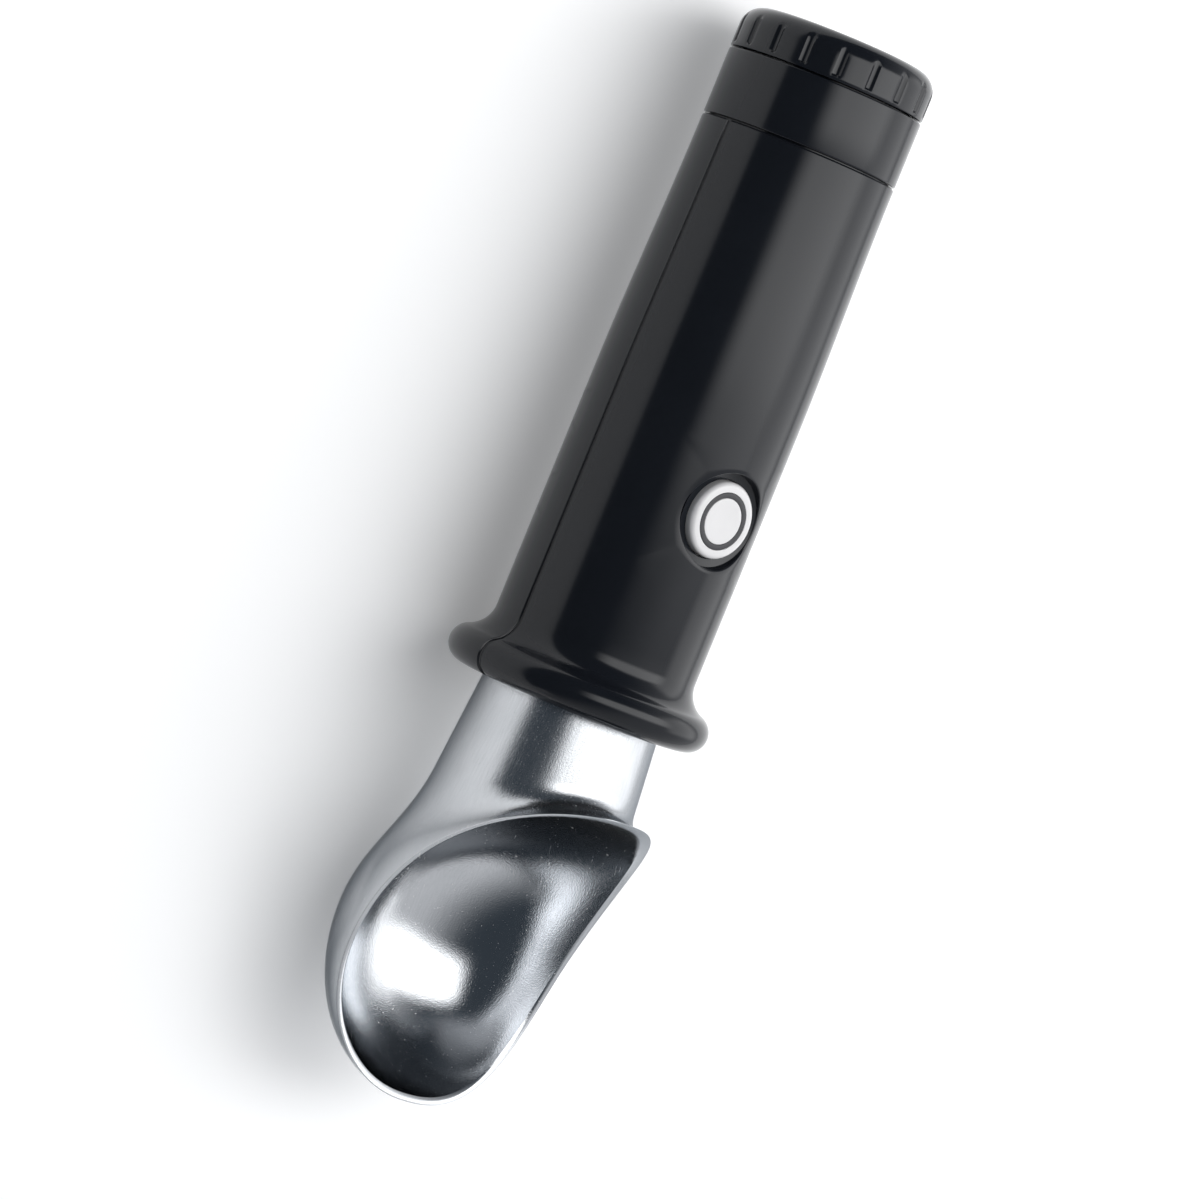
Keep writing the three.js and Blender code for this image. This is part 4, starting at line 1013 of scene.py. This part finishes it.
# %% Grip: lower shell
SCREW_STATIONS = (-34.1, -51.3)
SCREW_SIDE = 11.6
SCREW_SEAT = 7.0
SUNK_RADIUS = 2.6
SHANK_HOLE = 1.4
BOSS_RADIUS = 3.8
SUNK_EASE = 0.35  # rounding of the hole's edge
SUNK_POINT = (0.12, 0.08)  # a point of it, out from the wall and down from the skin
SEAT_ROUND = 0.2
SCREW_ROWS = ((7, 0), (20, 13))  # rows of the bay between which each pair of windows lies
SCREW_TURNS = (0.34, 1.23)  # round the axis, from below
sunk_hole = [
    (SUNK_RADIUS + SUNK_EASE, None),
    (SUNK_RADIUS + SUNK_POINT[0], -SUNK_POINT[1]),
    (SUNK_RADIUS, -SUNK_EASE),
    (SUNK_RADIUS, SCREW_SEAT + SEAT_ROUND),
    (SUNK_RADIUS - SEAT_ROUND, SCREW_SEAT),
    *stepped((SHANK_HOLE, BOSS_RADIUS), (SCREW_SEAT, SEAM_HALF_GAP)),
]
screw_holes = []
for station, rows in zip(SCREW_STATIONS, SCREW_ROWS):
    for side in (-1, 1):
        window = (*bay_rows[list(rows)], *sorted(side * turn for turn in SCREW_TURNS))
        screw_holes.append(((station, side * SCREW_SIDE), window, sunk_hole))
lower = half_shell(screw_holes)
bmesh.ops.scale(lower, vec=(1, 1, -1), verts=lower.verts)
piece(lower, "handle_lower_shell_moulded", "scoop", "grip_black", ["handle_lower_shell"])

# %% [markdown]
# Four screws hold the shells together. A screw starts as a flat grid that is rounded to a disc, the
# face of its head. The squares that form a cross are pressed in, narrowing, for the driver. The
# border is then drawn out ring by ring, over the head's round edge and along the shank to the
# point.

# %% Shell screws
HEAD_RADIUS = 2.3
HEAD_HEIGHT = 1.8
HEAD_ROUND = 0.5
SHANK_RADIUS = 1.2
SCREW_LENGTH = 14.0
SCREW_POINT = (1.5, 0.5)  # length of the point and radius of its end
HEAD_STEPS = 4
CROSS_GRID = 12
CROSS_ARM = 0.60  # half length of the cross, as a share of the disc
CROSS_WIDTH = 0.17
CROSS_DEPTH = 1.1
CROSS_TAPER = 0.6
HEAD_GAP = 0.1  # between the head and its seat


def in_cross(face):
    """Whether a square of the grid, from -1 to 1, belongs to the cross."""
    near, far = sorted(abs(c) for c in face.calc_center_median().xy)
    return near < CROSS_WIDTH and far < CROSS_ARM


def crossed_screw(x, y):
    """A pan-head screw that points up, with its head under the seat."""
    face_z = -SCREW_SEAT - HEAD_GAP - HEAD_HEIGHT
    disc = HEAD_RADIUS - HEAD_ROUND
    bm = bmesh.new()
    bmesh.ops.create_grid(bm, x_segments=CROSS_GRID, y_segments=CROSS_GRID, size=1)
    border = [e for e in bm.edges if e.is_boundary]
    cross = [face for face in bm.faces if in_cross(face)]
    for vert in bm.verts:
        u, v = vert.co.xy
        vert.co = (u * math.sqrt(1 - v * v / 2) * disc, v * math.sqrt(1 - u * u / 2) * disc, face_z)
    pressed = bmesh.ops.extrude_face_region(bm, geom=cross)["geom"]
    bmesh.ops.delete(bm, geom=cross, context="FACES")
    for vert in (g for g in pressed if isinstance(g, bmesh.types.BMVert)):
        vert.co.xy *= CROSS_TAPER
        vert.co.z += CROSS_DEPTH
    end = HEAD_HEIGHT + SCREW_LENGTH
    profile = arc((disc, HEAD_ROUND), HEAD_ROUND, -math.pi / 2, 0, HEAD_STEPS)[1:]
    profile += [(HEAD_RADIUS, HEAD_HEIGHT), (SHANK_RADIUS, HEAD_HEIGHT)]
    profile += [(SHANK_RADIUS, end - SCREW_POINT[0]), (SCREW_POINT[1], end)]
    for radius, rise in profile:
        border, points = drawn_out(bm, border)
        for vert in points:
            vert.co = (*(vert.co.xy.normalized() * radius), face_z + rise)
    bmesh.ops.edgeloop_fill(bm, edges=border)
    bmesh.ops.translate(bm, vec=(x, y, 0), verts=bm.verts)
    return bm


for number in range(1, 5):
    low, high = axis_box(f"shell_screw_{number}")
    screw = crossed_screw((low.x + high.x) / 2, (low.y + high.y) / 2)
    piece(screw, f"shell_screw_{number}_crossed", "scoop", "steel", [f"shell_screw_{number}"])

# %% [markdown]
# The button is a moulded cap with a stem and a skirt that keeps it from falling out, and a dark
# ring let into its face. Both are lathe shapes about an upright line, with small radii on every
# edge.

# %% Button
BUTTON_TOP = 18.6
BUTTON_RADIUS = 7.2
BUTTON_ROUND = 0.9
BUTTON_STEPS = 10  # over that edge
STEM_RADIUS = 1.5
STEM_FOOT = 12.5
CAP_HOLLOW = 5.9  # radius of the space for the spring
CAP_CEILING = 17.3
SKIRT_RADIUS = 7.9
SKIRT = (13.1, 14.3)
INLAY_SEAT = (5.4, 4.3)  # radii
INLAY_FLOOR = 18.1
MIDDLE_TOP = (18.58, 18.55, 18.5)  # the face inside the ring is a little hollow
MIDDLE_RADIUS = 3.5
INNER_ROUND = 0.15
FACE_ROUND = 0.1
WALL_TOP = 17.0  # of the button's straight side
FACE_EDGE = 5.6  # where the flat of its face starts
body_corners = stepped(
    (STEM_FOOT, CAP_CEILING, *SKIRT, WALL_TOP),
    (0, STEM_RADIUS, CAP_HOLLOW, SKIRT_RADIUS, BUTTON_RADIUS),
)
edge_centre = (BUTTON_TOP - BUTTON_ROUND, BUTTON_RADIUS - BUTTON_ROUND)
edge = [Vector(p) for p in arc(edge_centre, BUTTON_ROUND, math.pi / 2, 0, BUTTON_STEPS)]
seat_corners = stepped((BUTTON_TOP, INLAY_FLOOR, MIDDLE_TOP[0]), (FACE_EDGE, *INLAY_SEAT))
face_corners = [*seat_corners, *zip(MIDDLE_TOP[1:], (MIDDLE_RADIUS, 0))]
button_outline = [*rounded(body_corners, INNER_ROUND), *edge, *rounded(face_corners, FACE_ROUND)]
upright = (0, 0, 1)
button_line = (BUTTON_X, 0, 0)


def beside_button(outline):
    """Points (height, radius) as places beside the button's line."""
    return [(BUTTON_X + r, 0, z) for z, r in outline]


button = turned(beside_button(button_outline), button_line, upright)
piece(button, "button_cap_moulded", "button", "button_white", ["button_cap"])

INLAY = (4.36, 5.34)  # radii of the ring
INLAY_HEIGHTS = (18.15, 18.56)
inlay_corners = stepped(INLAY_HEIGHTS, (*INLAY, INLAY[0]))
inlay_outline = rounded(inlay_corners, FACE_ROUND, closed=True)
inlay = turned(beside_button([*inlay_outline, inlay_outline[0]]), button_line, upright)
piece(inlay, "button_inlay_ring", "button", "inlay_grey", ["button_inlay"])

# %% [markdown]
# The button's return spring is a disc of wire that is spun round the button's axis and raised a
# little at each step. The grip holds its foot and the button presses its top.

# %% Button: return spring
SPRING_WIRE = 0.35  # radius
SPRING_SIDES = 12
SPRING_COILS = 5
SPRING_STEPS = 40  # in a turn

low, high = axis_box("button_spring")
spring_length = high.z - low.z
coil_radius = (high.y - low.y) / 2 - SPRING_WIRE
coil_rise = (spring_length - 2 * SPRING_WIRE) / (SPRING_COILS * SPRING_STEPS)
start = Matrix.Translation((BUTTON_X + coil_radius, 0, low.z + SPRING_WIRE))
start @= Matrix.Rotation(math.pi / 2, 4, "X")
spring = bmesh.new()
bmesh.ops.create_circle(spring, cap_ends=True, segments=SPRING_SIDES, radius=SPRING_WIRE, matrix=start)
bmesh.ops.spin(
    spring,
    geom=spring.verts[:] + spring.edges[:] + spring.faces[:],
    cent=button_line,
    axis=upright,
    dvec=(0, 0, coil_rise),
    angle=2 * math.pi * SPRING_COILS,
    steps=SPRING_COILS * SPRING_STEPS,
)
return_spring = piece(spring, "button_spring_wound", "scoop", "steel", ["button_spring"])
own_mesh(return_spring)
print("spring:", round(spring_length, 2), "mm long, coils of radius", round(coil_radius, 2))

# %% [markdown]
# A ring closes the rear of the shells, and the end cap screws into it. The ring is a plain lathe
# shape.

# %% Rear ring
RING_REAR, RING_FRONT = (corner.x for corner in axis_box("rear_ring"))
CAP_REAR, SPIGOT_FRONT = (corner.x for corner in axis_box("end_cap"))
RING_BORE = 17.6
RING_ROUND = 0.3
RING_STEPS = 128
x_axis = (1, 0, 0)
ring_corners = stepped(
    (RING_FRONT, RING_REAR, SPIGOT_FRONT), (RING_BORE, GRIP_REAR_RADIUS, BATTERY_BORE, RING_BORE)
)
ring_outline = rounded(ring_corners, RING_ROUND, closed=True)
rear_ring = turned(along_axis([*ring_outline, ring_outline[0]]), (0, 0, 0), x_axis, steps=RING_STEPS)
piece(rear_ring, "rear_ring_moulded", "scoop", "grip_black", ["rear_ring"])

# %% [markdown]
# The cap has flutes for the fingers and a coarse thread on its spigot, which shows when it is
# unscrewed. It is a sheet whose radius changes round the axis.

# %% End cap
CAP_FRONT = RING_REAR - 0.3  # a gap is left between cap and ring
CAP_EDGE = 4.0
CAP_RINGS = (4.0, 8.0, 12.0)  # on its flat face
EDGE_STEPS, SIDE_STEPS = 14, 12
CAP_FLOOR = 2.6
CAP_EASE = (0.3, 0.1)  # rounding of the front edge: its ends, and its middle
SPIGOT_EASE = 0.2
FLUTE_END = 1.0  # from the front edge
CAP_FLUTES = 18
FLUTE_RADIUS = 1.0
FLUTE_DEPTH = 0.5
FLUTE_COLUMNS = 16
SPIGOT_RADIUS = 16.12
CAP_BORE = 12.42
SEAL_SEAT = 14.42
SEAL_SLOT = (CAP_FRONT + 0.3, CAP_FRONT + 2.2)
THREAD_PITCH = 3.0
THREAD_DEPTH = 0.45
THREAD_FORM = (1.6, 0.3)  # steepness of a groove's sides and how far it is wider than the land
THREAD_ROWS = 24
thread_rear, thread_front = CAP_FRONT + 2.5, SPIGOT_FRONT - 0.5
thread = [(x, SPIGOT_RADIUS) for x in np.linspace(thread_rear, thread_front, THREAD_ROWS)]
edge_centre = (CAP_REAR + CAP_EDGE, GRIP_REAR_RADIUS - CAP_EDGE)
side_x = np.linspace(CAP_REAR + CAP_EDGE, CAP_FRONT - CAP_EASE[0], SIDE_STEPS)[1:]
cap_outline = [
    (CAP_REAR, 0.0),
    *[(CAP_REAR, r) for r in CAP_RINGS],
    *arc(edge_centre, CAP_EDGE, math.pi, math.pi / 2, EDGE_STEPS),
    *[(x, GRIP_REAR_RADIUS) for x in side_x],
    (CAP_FRONT - CAP_EASE[1], GRIP_REAR_RADIUS - CAP_EASE[1]),
    (CAP_FRONT, GRIP_REAR_RADIUS - CAP_EASE[0]),
    (CAP_FRONT, SPIGOT_RADIUS),
    *stepped(SEAL_SLOT, (SPIGOT_RADIUS, SEAL_SEAT, SPIGOT_RADIUS)),
    *thread,
    (SPIGOT_FRONT - SPIGOT_EASE, SPIGOT_RADIUS),
    *stepped((SPIGOT_FRONT, CAP_REAR + CAP_FLOOR), (SPIGOT_RADIUS - SPIGOT_EASE, CAP_BORE, 0.0)),
]
CAP_COLUMNS = CAP_FLUTES * FLUTE_COLUMNS


def cap_radius(x, r, turn):
    """The outline's radius, less a flute on the outside or the thread's groove on the spigot."""
    if x < CAP_FRONT - FLUTE_END and r > GRIP_REAR_RADIUS - 2 * FLUTE_RADIUS:
        pitch = 2 * math.pi / CAP_FLUTES
        centre = GRIP_REAR_RADIUS + FLUTE_RADIUS - FLUTE_DEPTH
        off = (turn % pitch) - pitch / 2
        reach = FLUTE_RADIUS**2 - (centre * math.sin(off)) ** 2
        if reach > 0:
            r = min(r, centre * math.cos(off) - math.sqrt(reach))
    if thread_rear < x < thread_front and r == SPIGOT_RADIUS:
        share = (x / THREAD_PITCH + turn / (2 * math.pi)) % 1
        wave = THREAD_FORM[0] * math.sin(2 * math.pi * share) + THREAD_FORM[1]
        r -= THREAD_DEPTH * min(1, max(0, wave))
    return r


def cap_place(u, v):
    x, r = cap_outline[v]
    turn = (u % CAP_COLUMNS) * 2 * math.pi / CAP_COLUMNS
    r = cap_radius(x, r, turn)
    return (x, r * math.cos(turn), r * math.sin(turn))


cap = sheet(CAP_COLUMNS, len(cap_outline) - 1, cap_place)
piece(cap, "end_cap_fluted", "end_cap", "grip_black", ["end_cap"])

# %% [markdown]
# Two rubber rings keep water out, one behind the neck and one under the rim of the end cap, where
# it shows once the cap is unscrewed. Each is a circle that is turned round the axis.

# %% Seals
SEAL_SIDES = 16
SEAL_SPARE = 0.03  # thinner by this than the solid, to stay clear of its groove

for name, body in (("neck_seal", "scoop"), ("end_cap_seal", "cap_carriage")):
    low, high = axis_box(name)
    thick = (high.x - low.x) / 2 - SEAL_SPARE
    centre = ((low.x + high.x) / 2, high.z - thick - SEAL_SPARE)
    outline = arc(centre, thick, 0, 2 * math.pi, SEAL_SIDES)
    seal = turned(along_axis(outline), (0, 0, 0), x_axis)
    piece(seal, f"{name}_ring", body, "silicone_red", [name])

# %% [markdown]
# What else is inside the grip is carried as it was designed: heater, board, wires, cells and
# contacts. Each of those solids gets the finish of the material slot that the record names for it.

# %% Carried pieces
for part in frame["record"]["subparts"]:
    carried = frame["nodes"][part["node"]].data
    carried.materials.clear()
    carried.materials.append(FINISHES[part["material_slot"]])
print("finished", len(frame["nodes"]), "nodes")
